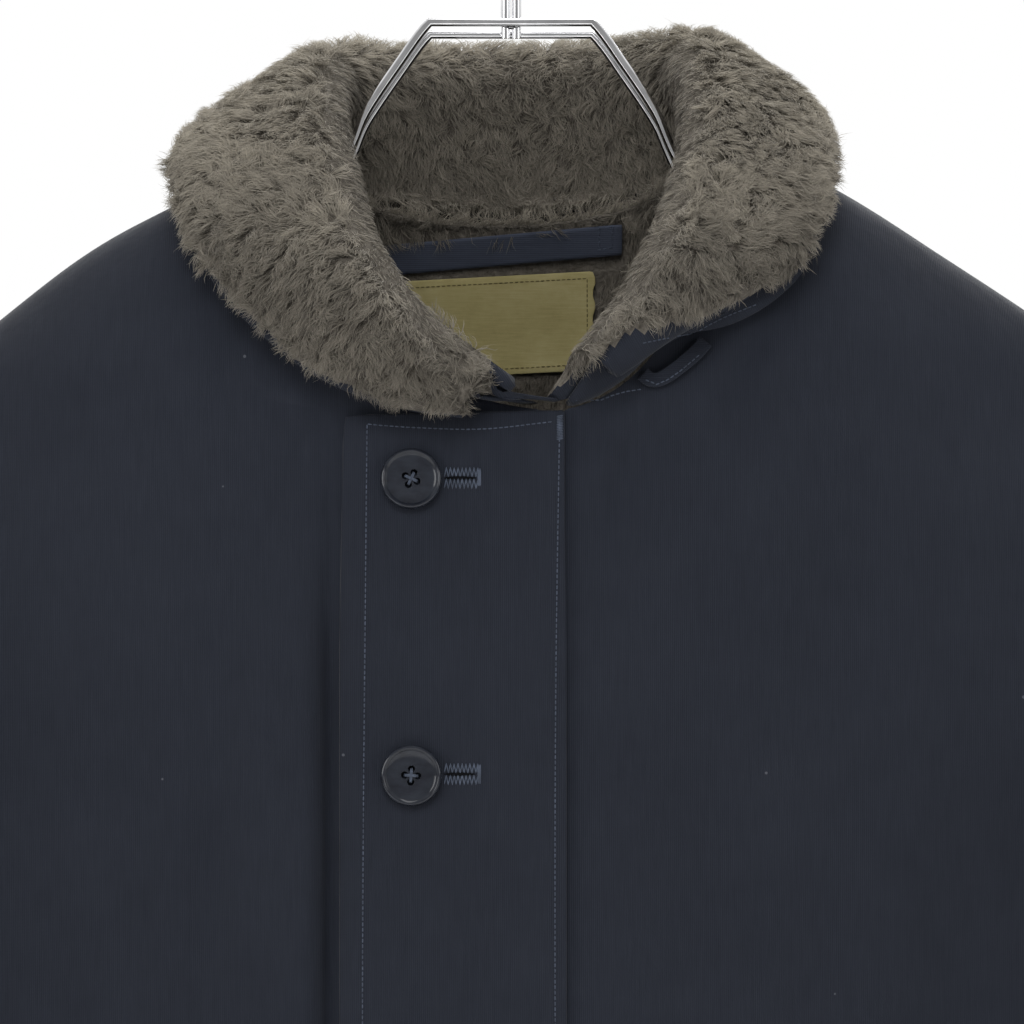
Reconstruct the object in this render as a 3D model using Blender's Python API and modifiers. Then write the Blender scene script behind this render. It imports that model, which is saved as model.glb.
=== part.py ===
"""A deck jacket hanging on a double wire hanger, in metres, +Z up.

The front faces -Y and the wearer's left is at +X. The origin is the point inside the hook's top
where the hanger bears on its rail.
"""

import math

import bmesh
import bpy
import numpy as np
from mathutils import Vector
from mathutils.bvhtree import BVHTree

# Cloth and seams
WALL = 0.003
GAP = 0.0003

# The jacket's cut, as heights below the rail and half widths from the centre
HEM_Z = -0.830
UNDERARM_Z = -0.462
SIDE_X = 0.235
HEM_FLARE = 0.004
NECK_X = 0.078
FRONT_NECK_Z = -0.2425
BACK_NECK_DROP = 0.030
FRONT_DEPTH = 0.074
BACK_DEPTH = 0.078
SHOULDER_ROUND = 0.16
FRONT_SQUARE = 2.3
BACK_SQUARE = 2.5
ARMHOLE_TIP_X = 0.228
ARMHOLE_SCOOP = 0.026
ARMHOLE_DEPTH = 0.050

# Shoulder line: how far out, and its height on the wearer's right and left
SHOULDER_LINE = [
    {"out": 0.078, "right_z": -0.1420, "left_z": -0.1380},
    {"out": 0.105, "right_z": -0.1535, "left_z": -0.1490},
    {"out": 0.130, "right_z": -0.1657, "left_z": -0.1621},
    {"out": 0.160, "right_z": -0.1820, "left_z": -0.1817},
    {"out": 0.190, "right_z": -0.2055, "left_z": -0.2010},
    {"out": 0.228, "right_z": -0.2370, "left_z": -0.2280},
    {"out": 0.250, "right_z": -0.2570, "left_z": -0.2460},
]

# Where the two fronts meet, and the storm flap over them
CLOSING_X = 0.0165
FLAP_EDGE_X = -0.0612
FLAP_SEAM_X = 0.0197
FLAP_BOTTOM_Z = -0.805

# Folds of the fronts, from their upper to their lower end. Depth is out from the body, a trough negative.
# Each starts softly over this share of its length
FOLD_START = 0.12
FRONT_FOLDS = [
    # groove beside the flap
    {"top": (-0.0665, -0.262), "foot": (-0.0672, -0.84), "width": 0.0050, "depth": -0.0065},
    # swell beside the groove
    {"top": (-0.0840, -0.270), "foot": (-0.0810, -0.84), "width": 0.0120, "depth": 0.0045},
    # long soft fold
    {"top": (-0.0960, -0.300), "foot": (-0.1130, -0.80), "width": 0.0140, "depth": -0.0040},
    # drag from the latch
    {"top": (0.0560, -0.232), "foot": (0.0270, -0.330), "width": 0.0090, "depth": -0.0025},
    # fold below the left collar
    {"top": (0.0850, -0.205), "foot": (0.0870, -0.260), "width": 0.0100, "depth": -0.0020},
    # left lower wave
    {"top": (0.1120, -0.480), "foot": (0.1000, -0.84), "width": 0.0220, "depth": 0.0060},
    # left side hollow
    {"top": (0.1620, -0.420), "foot": (0.1550, -0.84), "width": 0.0200, "depth": -0.0050},
    # right side wave
    {"top": (-0.1640, -0.440), "foot": (-0.1580, -0.84), "width": 0.0220, "depth": 0.0055},
]
BACK_FOLDS = [
    # centre hollow
    {"top": (0.0050, -0.300), "foot": (0.0100, -0.84), "width": 0.0300, "depth": -0.0060},
    # right blade fold
    {"top": (-0.1300, -0.300), "foot": (-0.0950, -0.84), "width": 0.0200, "depth": 0.0060},
    # left blade fold
    {"top": (0.1250, -0.330), "foot": (0.1080, -0.84), "width": 0.0220, "depth": 0.0055},
]

# Columns of the fronts' cloth, from the closing edge out, at the hem
RIGHT_COLUMNS = [
    CLOSING_X, -0.0225, FLAP_EDGE_X, -0.0665, -0.0740, -0.0850, -0.1040, -0.1300, -0.1600, -0.1900, -0.2150
]
LEFT_COLUMNS = [0.0168, 0.0197, 0.0310, 0.0480, 0.0660, 0.0850, 0.1080, 0.1350, 0.1600, 0.1900, 0.2150]
# Rows between the front neck (0) and the shoulder seam (1), and which row the front neck is on
NECK_ROWS = [0.035, 0.13, 0.29, 0.52, 0.77, 0.93, 0.985, 1.0]
NECK_ROW = 10
# Columns of the back, from its centre out, at the shoulders
BACK_COLUMNS = [0.0, 0.026, 0.048, 0.064, 0.074, 0.078, 0.104, 0.134, 0.164, 0.194, 0.216]

# Sleeve sections down the arm: the side against the body, the outer side, and half the depth
SLEEVE_SECTIONS = [
    {"inner_x": 0.2385, "inner_z": -0.482, "outer_x": 0.2530, "outer_z": -0.2570, "half_depth": 0.0640},
    {"inner_x": 0.2415, "inner_z": -0.512, "outer_x": 0.2820, "outer_z": -0.2890, "half_depth": 0.0740},
    {"inner_x": 0.2440, "inner_z": -0.550, "outer_x": 0.3080, "outer_z": -0.3420, "half_depth": 0.0790},
    {"inner_x": 0.2450, "inner_z": -0.595, "outer_x": 0.3240, "outer_z": -0.4200, "half_depth": 0.0790},
    {"inner_x": 0.2450, "inner_z": -0.645, "outer_x": 0.3290, "outer_z": -0.5200, "half_depth": 0.0760},
    {"inner_x": 0.2460, "inner_z": -0.700, "outer_x": 0.3270, "outer_z": -0.6300, "half_depth": 0.0710},
    {"inner_x": 0.2500, "inner_z": -0.755, "outer_x": 0.3230, "outer_z": -0.7250, "half_depth": 0.0650},
    {"inner_x": 0.2530, "inner_z": -0.812, "outer_x": 0.3190, "outer_z": -0.8020, "half_depth": 0.0600},
]

SLEEVE_SQUARE = 0.8

# Collar sections round the neck, from the wearer's right tip by the back to the left tip.
# around: place on the neckline. lift: height of the stand's foot over the neck seam. roll: top of the
# folded cloth. edge: the fall's edge. clear: that edge's height off the jacket. pile: its depth.
# rim: how far the under-collar shows past the pile
COLLAR_COLUMNS = ["around", "lift", "roll_x", "roll_y", "roll_z", "edge_x", "edge_z", "clear", "pile", "rim"]
COLLAR_ROWS = [
    [-1.00, 0.0042, -0.0080, -0.0840, -0.2330, -0.0130, -0.2430, 0.0090, 0.009, 0.001],
    [-0.90, 0.0042, -0.0330, -0.0820, -0.2140, -0.0390, -0.2400, 0.0085, 0.013, 0.002],
    [-0.79, 0.0042, -0.0530, -0.0730, -0.1930, -0.0690, -0.2290, 0.0065, 0.016, 0.003],
    [-0.67, 0.0042, -0.0640, -0.0560, -0.1700, -0.0930, -0.2110, 0.0070, 0.017, 0.003],
    [-0.55, 0.0042, -0.0710, -0.0310, -0.1450, -0.1120, -0.1870, 0.0075, 0.017, 0.003],
    [-0.44, 0.0042, -0.0740, -0.0020, -0.1270, -0.1190, -0.1500, 0.0075, 0.017, 0.003],
    [-0.32, 0.0042, -0.0680, 0.0280, -0.1170, -0.1060, -0.1780, 0.0075, 0.017, 0.003],
    [-0.17, 0.0042, -0.0440, 0.0530, -0.1145, -0.0660, -0.1950, 0.0060, 0.016, 0.003],
    [0.00, 0.0042, 0.0000, 0.0620, -0.1140, 0.0000, -0.2000, 0.0060, 0.016, 0.003],
    [0.17, 0.0042, 0.0430, 0.0530, -0.1120, 0.0640, -0.1940, 0.0060, 0.016, 0.003],
    [0.32, 0.0042, 0.0670, 0.0280, -0.1115, 0.0990, -0.1730, 0.0075, 0.017, 0.003],
    [0.44, 0.0042, 0.0735, -0.0020, -0.1200, 0.1120, -0.1460, 0.0075, 0.017, 0.004],
    [0.55, 0.0042, 0.0738, -0.0310, -0.1420, 0.1080, -0.1810, 0.0075, 0.017, 0.005],
    [0.67, 0.0042, 0.0680, -0.0550, -0.1660, 0.0940, -0.1970, 0.0085, 0.016, 0.007],
    [0.79, 0.0042, 0.0560, -0.0720, -0.1870, 0.0750, -0.2080, 0.0105, 0.014, 0.008],
    [0.90, 0.0042, 0.0420, -0.0810, -0.2060, 0.0560, -0.2170, 0.0115, 0.011, 0.006],
    [1.00, 0.0042, 0.0250, -0.0840, -0.2240, 0.0340, -0.2300, 0.0105, 0.008, 0.003],
]
COLLAR_STATIONS = 41
SHOULDER_AROUND = 0.44
FOLD_RADIUS = 0.0060
TIP_FOLD_RADIUS = 0.0042
STAND_PILE = 0.008
FALL_BULGE = 0.0015
FALL_STEPS = (0.36, 0.70, 0.90, 1.0)
EDGE_ROUND = (0.0015, 0.0030)
UNDER_WALL = 0.0021
UNDER_CLEAR = 2.8 * GAP
COLLAR_END_PULL = 0.6

# Pieces inside the back neck
LINING_THICK = 0.008
LINING_ROW = 9
LINING_CLEAR = 2.5 * GAP
LINING_TOP_DROP = 0.0008
PATCH_CLEAR = 1.5 * GAP
LOOP_LEFT_X, LOOP_RIGHT_X = -0.0500, 0.0424
LOOP_LEFT_Z, LOOP_RIGHT_Z = -0.1835, -0.1755
LOOP_TALL, LOOP_THICK = 0.0115, 0.0020
LABEL_LEFT_X, LABEL_RIGHT_X = -0.0530, 0.0318
LABEL_LEFT_Z, LABEL_RIGHT_Z = -0.2105, -0.2060
LABEL_TALL, LABEL_THICK = 0.0375, 0.0012

# Buttons
BUTTON_X = -0.0363
BUTTON_FIRST_Z = -0.2676
BUTTON_SPACING = 0.1078
BUTTON_COUNT = 5
BUTTON_RADIUS = 0.0113
BUTTON_THICK = 0.0038
BUTTON_LIFT = 0.0003
BUTTON_STEPS = 16
HOLE_RADIUS = 0.0011
HOLE_OUT = 0.0021

# Throat latch: the outer line of its looped tab, from one end round to the other, and its width
LATCH_THICK = 0.0022
LATCH_WIDE = 0.0056
LATCH_SHARES = (1.0, 0.5, 0.0)
LATCH_PATH = [
    {"x": 0.0464, "z": -0.2306},
    {"x": 0.0492, "z": -0.2332},
    {"x": 0.0540, "z": -0.2340},
    {"x": 0.0591, "z": -0.2315},
    {"x": 0.0646, "z": -0.2274},
    {"x": 0.0701, "z": -0.2227},
    {"x": 0.0736, "z": -0.2185},
]

# Hanger
WIRE_RADIUS = 0.0018
FRAME_HALF_GAP = 0.00405
ARM_CLEAR = 0.0018
ARM_STEPS = 21
BAR_Z = -0.0953
BAR_HALF = 0.0305
BACK_WIRE_DROP = 0.0041
STEM_HALF = 0.00205
STEM_BOTTOM_Z = -0.1012
RAIL_RADIUS = 0.0180
HOOK_TIP_ANGLE = math.radians(200)
HOOK_TURN_ANGLE = math.radians(-40)
HOOK_NECK_RADIUS = 0.030
# An arm's line from the bar down to the collar, then how far out it follows the shoulder
ARM_NECK = [
    (0.0340, -0.0992), (0.0395, -0.1070), (0.0463, -0.1168),
    (0.0532, -0.1271), (0.0574, -0.1350), (0.0600, -0.1425), (0.0640, -0.1490), (0.0740, -0.1555),
]
ARM_OUTS = [0.105, 0.130, 0.160, 0.185, 0.200]
ARM_SLOPE_ROOM = 1.18
ARM_SPREAD = 1.35
END_DROP = 0.0027
TURN_ANGLES = (math.pi / 4, math.pi / 2, 3 * math.pi / 4)

FINISHES = {
    "navy cloth": ((0.020, 0.024, 0.034), 0.90, 0.0),
    "pile": ((0.105, 0.095, 0.080), 0.95, 0.0),
    "label cloth": ((0.190, 0.160, 0.070), 0.85, 0.0),
    "button plastic": ((0.012, 0.013, 0.018), 0.18, 0.0),
    "chrome": ((0.72, 0.73, 0.74), 0.10, 1.0),
}


def clear_scene():
    for old in list(bpy.data.objects):
        bpy.data.objects.remove(old)


def collection(name, drawn=True):
    made = bpy.data.collections.new(name)
    bpy.context.scene.collection.children.link(made)
    made.hide_render = not drawn
    return made


def finish(name):
    colour, roughness, metallic = FINISHES[name]
    made = bpy.data.materials.get(name)
    if made is None:
        made = bpy.data.materials.new(name)
        made.use_nodes = True
        shader = made.node_tree.nodes["Principled BSDF"]
        shader.inputs["Base Color"].default_value = (*colour, 1)
        shader.inputs["Roughness"].default_value = roughness
        shader.inputs["Metallic"].default_value = metallic
    return made


def column(table, name):
    return np.array([row[name] for row in table], float)


def smooth_curve(places, values, at):
    """A smooth curve through the values at the places, read at the places asked for."""
    places = np.asarray(places, float)
    values = np.asarray(values, float)
    slopes = np.gradient(values, places)
    at = np.clip(at, places[0], places[-1])
    low = np.clip(np.searchsorted(places, at, side="right") - 1, 0, len(places) - 2)
    step = places[low + 1] - places[low]
    t = (at - places[low]) / step
    return (
        (2 * t**3 - 3 * t**2 + 1) * values[low]
        + (t**3 - 2 * t**2 + t) * step * slopes[low]
        + (3 * t**2 - 2 * t**3) * values[low + 1]
        + (t**3 - t**2) * step * slopes[low + 1]
    )


def unit(vectors):
    return vectors / np.maximum(np.linalg.norm(vectors, axis=-1, keepdims=True), 1e-12)


def shoulder_z(x):
    """Height of the shoulder line at x. It is level across the neck."""
    out = column(SHOULDER_LINE, "out")
    right = smooth_curve(out, column(SHOULDER_LINE, "right_z"), np.abs(x))
    left = smooth_curve(out, column(SHOULDER_LINE, "left_z"), np.abs(x))
    share = np.clip((np.asarray(x) + NECK_X) / (2 * NECK_X), 0, 1)
    return right + (left - right) * share


def armhole_x(side, z):
    """Half width of the body at height z: its side seam, and the armhole's edge above the underarm."""
    tip_z = shoulder_z(side * ARMHOLE_TIP_X)
    rise = np.clip((z - UNDERARM_Z) / (tip_z - UNDERARM_Z), 0, 1)
    scoop = ARMHOLE_SCOOP * np.sin(math.pi * rise) ** 0.7
    above = SIDE_X + (ARMHOLE_TIP_X - SIDE_X) * rise - scoop
    fall = np.clip((UNDERARM_Z - z) / (UNDERARM_Z - HEM_Z), 0, 1)
    return np.where(z > UNDERARM_Z, above, SIDE_X + HEM_FLARE * fall)


def fold_relief(folds, x, z):
    """How far the folds move the cloth out at x, z."""
    relief = np.zeros_like(np.asarray(x, float) + np.asarray(z, float))
    for fold in folds:
        top_x, top_z = fold["top"]
        foot_x, foot_z = fold["foot"]
        along = (top_z - z) / (top_z - foot_z)
        centre = top_x + (foot_x - top_x) * np.clip(along, 0, 1)
        fade = np.clip(along / FOLD_START, 0, 1)
        relief = relief + fold["depth"] * fade * np.exp(-(((x - centre) / fold["width"]) ** 2))
    return relief


def body_point(face, x, z):
    """A point of the jacket's outer surface. face is -1 on the front and 1 on the back."""
    x = np.asarray(x, float)
    z = np.asarray(z, float)
    side = np.where(x < 0, -1, 1)
    depth, square = (FRONT_DEPTH, FRONT_SQUARE) if face < 0 else (BACK_DEPTH, BACK_SQUARE)
    drop = np.maximum(shoulder_z(x) - z, 0)
    fullness = np.sqrt(1 - (1 - np.minimum(drop / SHOULDER_ROUND, 1)) ** 2)
    edge = armhole_x(side, z)
    tip_z = shoulder_z(side * ARMHOLE_TIP_X)
    rise = np.clip((z - UNDERARM_Z) / (tip_z - UNDERARM_Z), 0, 0.999)
    edge_drop = np.maximum(shoulder_z(side * edge) - z, 1e-9)
    edge_full = np.sqrt(1 - (1 - np.minimum(edge_drop / SHOULDER_ROUND, 1)) ** 2)
    share = np.clip(ARMHOLE_DEPTH * np.sqrt(np.sin(math.pi * rise)) / (depth * edge_full), 0, 0.93)
    reach = edge / (1 - share**square) ** (1 / square)
    across = np.clip(np.abs(x) / reach, 0, 1)
    round_off = (1 - across**square) ** (1 / square)
    folds = FRONT_FOLDS if face < 0 else BACK_FOLDS
    relief = fold_relief(folds, x, z) * np.clip(fullness * round_off, 0, 1)
    y = face * (depth * fullness * round_off + relief + GAP / 2)
    return np.stack([x + 0 * y, y, z + 0 * y], axis=-1)


def body_normal(face, x, z):
    """The outward normal of the jacket's surface."""
    step = 2e-5
    z = np.minimum(z, shoulder_z(x) - step)
    side = np.where(np.asarray(x) < 0, -1, 1)
    reach = armhole_x(side, z)
    inner = np.abs(x) - 2 * step * (np.abs(x) > reach - 2 * step)
    x = side * inner
    along_x = body_point(face, x + step, z) - body_point(face, x - step, z)
    along_z = body_point(face, x, z + step) - body_point(face, x, z - step)
    return unit(np.cross(along_x, along_z)) * -face


def lift(face, x, z, out):
    """The surface point moved out along its normal."""
    return body_point(face, x, z) + out * body_normal(face, x, z)


def mesh_object(name, points, faces, material, into):
    mesh = bpy.data.meshes.new(name)
    mesh.from_pydata([tuple(p) for p in points], [], faces)
    work = bmesh.new()
    work.from_mesh(mesh)
    bmesh.ops.remove_doubles(work, verts=work.verts, dist=1e-6)
    bmesh.ops.recalc_face_normals(work, faces=work.faces)
    if work.calc_volume(signed=True) < 0:
        bmesh.ops.reverse_faces(work, faces=work.faces)
    work.to_mesh(mesh)
    work.free()
    mesh.shade_smooth()
    mesh.set_sharp_from_angle(angle=math.radians(50))
    mesh.materials.append(finish(material))
    made = bpy.data.objects.new(name, mesh)
    into.objects.link(made)
    return made


def wall(name, outer, inner, material, into, around=False):
    """A closed wall between two grids of points, rows by columns, open at its ends."""
    rows, columns = outer.shape[:2]
    points = np.concatenate([outer.reshape(-1, 3), inner.reshape(-1, 3)])
    second = rows * columns
    faces = []
    spans = columns if around else columns - 1
    for i in range(rows - 1):
        for j in range(spans):
            k = (j + 1) % columns
            a, b, c, d = i * columns + j, i * columns + k, (i + 1) * columns + k, (i + 1) * columns + j
            faces += [(a, b, c), (a, c, d)]
            faces += [(second + c, second + b, second + a), (second + d, second + c, second + a)]
    for i in (0, rows - 1):
        for j in range(spans):
            a, b = i * columns + j, i * columns + (j + 1) % columns
            faces.append((a, second + a, second + b, b) if i == 0 else (b, second + b, second + a, a))
    if not around:
        for j in (0, columns - 1):
            for i in range(rows - 1):
                a, b = i * columns + j, (i + 1) * columns + j
                faces.append((b, second + b, second + a, a) if j == 0 else (a, second + a, second + b, b))
    return mesh_object(name, points, faces, material, into)


def side_rows(side):
    """Row places on one side, from the hem (0) to the shoulder (1), with a row at the underarm."""
    underarm = (UNDERARM_Z - HEM_Z) / (float(shoulder_z(side * SIDE_X)) - HEM_Z)
    neck = neck_row()
    low = np.linspace(0, underarm, 7)
    middle = np.linspace(underarm, neck, 5)[1:]
    high = neck + (1 - neck) * np.array(NECK_ROWS)
    return np.concatenate([low, middle, high])


def neck_row():
    return (FRONT_NECK_Z - HEM_Z) / (float(shoulder_z(CLOSING_X)) - HEM_Z)


def row_height(x, row):
    """Height at x of a numbered row of the cloth, which runs from the hem's line to the shoulder's."""
    share = np.clip((np.asarray(x) + SIDE_X) / (2 * SIDE_X), 0, 1)
    place = side_rows(-1)[row] * (1 - share) + side_rows(1)[row] * share
    return HEM_Z + (shoulder_z(x) - HEM_Z) * place


def row_edge(side, row):
    """The half width at which a row meets the side seam or the armhole."""
    x = SIDE_X
    for _ in range(60):
        x = float(armhole_x(side, float(row_height(side * x, row))))
    return x


def front_grid(side, columns):
    """Places x, z of one front's cloth. side is -1 on the wearer's right and 1 on the left."""
    start = columns[0]
    shares = np.append((np.array(columns) - start) / (side * SIDE_X - start), 1.0)
    grid = []
    for row, place in enumerate(side_rows(1)):
        rise = max(0.0, (place - neck_row()) / (1 - neck_row()))
        inner = start + (side * NECK_X - start) * math.sqrt(2 * rise - rise**2)
        outer = side * row_edge(side, row)
        x = inner + (outer - inner) * shares
        if row <= NECK_ROW:
            x[:-1] = columns
        grid.append(np.stack([x, row_height(x, row)], axis=-1))
    return np.array(grid)


def back_grid():
    half = np.array(BACK_COLUMNS + [ARMHOLE_TIP_X])
    across = np.concatenate([-half[::-1], half[1:]])
    inside = np.clip(np.abs(across) / NECK_X, 0, 1)
    top = shoulder_z(across) - BACK_NECK_DROP * np.sqrt(1 - inside**2)
    share = (across + ARMHOLE_TIP_X) / (2 * ARMHOLE_TIP_X)
    grid = []
    for low, high in zip(side_rows(-1), side_rows(1)):
        z = HEM_Z + (top - HEM_Z) * (low * (1 - share) + high * share)
        edge = np.where(across < 0, float(armhole_x(-1, z[0])), float(armhole_x(1, z[-1])))
        grid.append(np.stack([across * edge / ARMHOLE_TIP_X, z], axis=-1))
    return np.array(grid)


def body_wall(name, face, grid, into):
    outer = body_point(face, grid[..., 0], grid[..., 1])
    normal = body_normal(face, grid[..., 0], grid[..., 1])
    return wall(name, outer, outer - WALL * normal, "navy cloth", into)


def armhole_ring(side, front, back):
    """The armhole's edge from the shoulder tip down the front to the underarm and up the back."""
    f = front[:, -1]
    b = back[:, 0 if side < 0 else -1]
    f = f[f[:, 1] >= UNDERARM_Z - 1e-6]
    b = b[b[:, 1] >= UNDERARM_Z - 1e-6]
    front_edge = body_point(-1, f[:, 0], f[:, 1])[::-1]
    back_edge = body_point(1, b[:, 0], b[:, 1])
    front_edge[[0, -1], 1] = 0
    return np.concatenate([front_edge, back_edge[1:-1]])


def sleeve(name, side, front, back, into):
    ring = armhole_ring(side, front, back)
    ring[:, 0] += side * GAP
    middle = (ring.max(axis=0) + ring.min(axis=0)) / 2
    high = ring[:, 2].max() - middle[2]
    deep = np.abs(ring[:, 1]).max()
    turn = np.arctan2(-ring[:, 1] / deep, (ring[:, 2] - middle[2]) / high)
    toward = np.stack([0 * turn, middle[1] - ring[:, 1], middle[2] - ring[:, 2]], axis=-1)
    outer = [ring]
    for row in SLEEVE_SECTIONS:
        a = np.array([side * row["outer_x"], 0, row["outer_z"]])
        b = np.array([side * row["inner_x"], 0, row["inner_z"]])
        centre = (a + b) / 2
        reach = (a - b) / 2
        across = np.array([0, -row["half_depth"], 0])
        square = np.sign(np.sin(turn)) * np.abs(np.sin(turn)) ** SLEEVE_SQUARE
        outer.append(centre + np.cos(turn)[:, None] * reach + square[:, None] * across)
    outer = np.array(outer)
    around = np.roll(outer, -1, axis=1) - np.roll(outer, 1, axis=1)
    along = np.gradient(outer, axis=0)
    normal = unit(np.cross(around, along))
    centres = outer.mean(axis=1, keepdims=True)
    normal *= np.sign((normal * (outer - centres)).sum(axis=-1, keepdims=True))
    inner = outer - WALL * normal
    inner[0] = ring + WALL * unit(toward)
    return wall(name, outer, inner, "navy cloth", into, around=True)


def storm_flap(into):
    across = np.array([FLAP_SEAM_X, CLOSING_X, RIGHT_COLUMNS[1], FLAP_EDGE_X])
    heights = [row_height(across, row) for row in range(1, NECK_ROW + 1)]
    z = np.array([np.full(len(across), FLAP_BOTTOM_Z)] + heights)
    x = np.broadcast_to(across, z.shape)
    inner = lift(-1, x, z, GAP * 1.2)
    outer = lift(-1, x, z, GAP * 1.2 + WALL)
    return wall("storm_flap", outer, inner, "navy cloth", into)


def neckline(around):
    """The neck seam on the jacket's surface, from -1 at the right front by 0 at the back to 1 at the left."""
    side = -1 if around < 0 else 1
    far = abs(around)
    neck_z = float(shoulder_z(side * NECK_X))
    if far <= SHOULDER_AROUND:
        turn = math.pi / 2 * far / SHOULDER_AROUND
        x = side * NECK_X * math.sin(turn)
        z = float(shoulder_z(x)) - BACK_NECK_DROP * math.cos(turn)
        return body_point(1, x, z)
    turn = math.pi / 2 * (far - SHOULDER_AROUND) / (1 - SHOULDER_AROUND)
    front_x = CLOSING_X
    x = front_x + (side * NECK_X - front_x) * math.cos(turn)
    z = neck_z + (FRONT_NECK_Z - neck_z) * math.sin(turn)
    return body_point(-1, x, min(z, float(shoulder_z(x))))


def fall_edge(around, x, z, clear):
    """A point of the collar's edge, this far off the jacket."""
    face = -1 if abs(around) > SHOULDER_AROUND else 1
    return lift(face, x, min(z, float(shoulder_z(x)) - 1e-5), clear)


def collar_lines():
    """The cloth's line across the collar at each station, the side of the pile, and its depth there."""
    table = dict(zip(COLLAR_COLUMNS, np.transpose(COLLAR_ROWS)))
    stations = np.linspace(-1, 1, COLLAR_STATIONS)
    read = {name: smooth_curve(table["around"], values, stations) for name, values in table.items()}
    roll = np.stack([read["roll_x"], read["roll_y"], read["roll_z"]], axis=-1)
    along = unit(np.gradient(roll, axis=0))
    lines, normals, depths = [], [], []
    for k, around in enumerate(stations):
        start = neckline(around)
        edge = fall_edge(around, read["edge_x"][k], read["edge_z"][k], read["clear"][k])
        way = along[k]
        level = unit(np.cross(way, [0, 0, 1.0]))
        level = level if level @ (roll[k] - np.array([0, -0.01, roll[k][2]])) > 0 else -level
        up = unit(np.cross(level, way))
        up = up if up[2] > 0 else -up
        tip = np.clip((1 - abs(around)) / 0.2, 0, 1)
        radius = TIP_FOLD_RADIUS + (FOLD_RADIUS - TIP_FOLD_RADIUS) * tip
        start = start + read["lift"][k] * up
        flat_start = np.array([(start - roll[k]) @ level, (start - roll[k]) @ up])
        flat_edge = np.array([(edge - roll[k]) @ level, (edge - roll[k]) @ up])
        slip_start = (start - roll[k]) @ way
        slip_edge = (edge - roll[k]) @ way
        centre = np.array([0, -radius])
        reach = flat_edge - centre
        leave = math.atan2(reach[1], reach[0]) + math.acos(min(0.98, radius / np.linalg.norm(reach)))
        angles = np.linspace(math.pi, leave, 5)
        arc = centre + radius * np.stack([np.cos(angles), np.sin(angles)], axis=-1)
        stand = [flat_start + (arc[0] - flat_start) * s for s in (0, 0.5)]
        run = flat_edge - arc[-1]
        side = np.array([-run[1], run[0]]) / np.linalg.norm(run)
        fall = [arc[-1] + run * s + side * FALL_BULGE * tip * math.sin(math.pi * s) for s in FALL_STEPS]
        flat = np.array([*stand, *arc, *fall])
        travel = np.concatenate([[0], np.cumsum(np.linalg.norm(np.diff(flat, axis=0), axis=1))])
        travel /= travel[-1]
        top = travel[4]
        slip = np.where(travel < top, slip_start * (1 - travel / top), slip_edge * (travel - top) / (1 - top))
        lines.append(roll[k] + flat[:, :1] * level + flat[:, 1:] * up + slip[:, None] * way)
        heading = unit(np.gradient(flat, axis=0))
        out = np.stack([-heading[:, 1], heading[:, 0]], axis=-1)
        normals.append(out[:, :1] * level + out[:, 1:] * up)
        full = read["pile"][k]
        stand_pile = min(STAND_PILE, full)
        shares = [0, top * 0.6, top, top + (1 - top) * 0.75, top + (1 - top) * 0.9, 1]
        sizes = [stand_pile * 0.3, stand_pile, full, full, full * 0.82, full * 0.45]
        depths.append(np.interp(travel, shares, sizes))
    return np.array(lines), np.array(normals), np.array(depths), read["rim"]


def collar(into):
    lines, normals, depths, rims = collar_lines()
    pile = lines + normals * depths[..., None]
    run = unit(lines[:, -1] - lines[:, -2])
    for column_back, reach in zip((2, 1), EDGE_ROUND):
        pile[:, -column_back] += run * reach
    wall("collar_pile", pile, lines, "pile", into)
    rim = lines[:, -1] + run * rims[:, None]
    cloth = np.concatenate([lines, rim[:, None]], axis=1)
    cloth[[0, -1]] += COLLAR_END_PULL * (cloth[[1, -2]] - cloth[[0, -1]])
    away = np.concatenate([normals, normals[:, -1:]], axis=1)
    near = cloth - away * UNDER_CLEAR
    far = near - away * UNDER_WALL
    wall("under_collar", near, far, "navy cloth", into)


def neck_lining(into):
    middle = len(BACK_COLUMNS)
    places = back_grid()[LINING_ROW:, middle - 4 : middle + 5].copy()
    places[-1, :, 1] -= LINING_TOP_DROP
    x, z = places[..., 0], places[..., 1]
    outer = body_point(1, x, z)
    outer[..., 1] -= (WALL + LINING_CLEAR) / body_normal(1, x, z)[..., 1]
    inner = outer - np.array([0, LINING_THICK, 0])
    return wall("neck_lining", outer, inner, "pile", into)


def first_met(carrier, x, z, start):
    """The y at which a line along +Y from start first meets the carrier."""
    mesh = carrier.data
    tree = BVHTree.FromPolygons([v.co for v in mesh.vertices], [face.vertices for face in mesh.polygons])
    ahead = Vector((0, 1, 0))
    met = [tree.ray_cast(Vector((a, start, b)), ahead)[0].y for a, b in zip(np.ravel(x), np.ravel(z))]
    return np.array(met).reshape(np.shape(x))


def strip_on_lining(name, carrier, ends_x, ends_z, tall, thick, material, into):
    """A flat strip inside the back neck, on the lining's inner face."""
    x = np.linspace(*ends_x, 9)
    middle = np.interp(x, ends_x, ends_z)
    shares = np.array([-0.5, 0, 0.5])
    z = middle[None, :] + shares[:, None] * tall
    x = np.broadcast_to(x, z.shape)
    y = first_met(carrier, x, z, 0.0)
    outer = np.stack([x, y - PATCH_CLEAR, z], axis=-1)
    inner = np.stack([x, y - PATCH_CLEAR - thick, z], axis=-1)
    return wall(name, outer, inner, material, into)


def button_profile():
    """Half outline of a button with a raised rim, as radius and height, down its outer side."""
    shares = [(0, 0.55), (0.62, 0.55), (0.80, 1.0), (0.93, 0.95), (1.0, 0.55), (0.9, 0), (0, 0)]
    return [(BUTTON_RADIUS * out, BUTTON_THICK * up) for out, up in shares]


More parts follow.
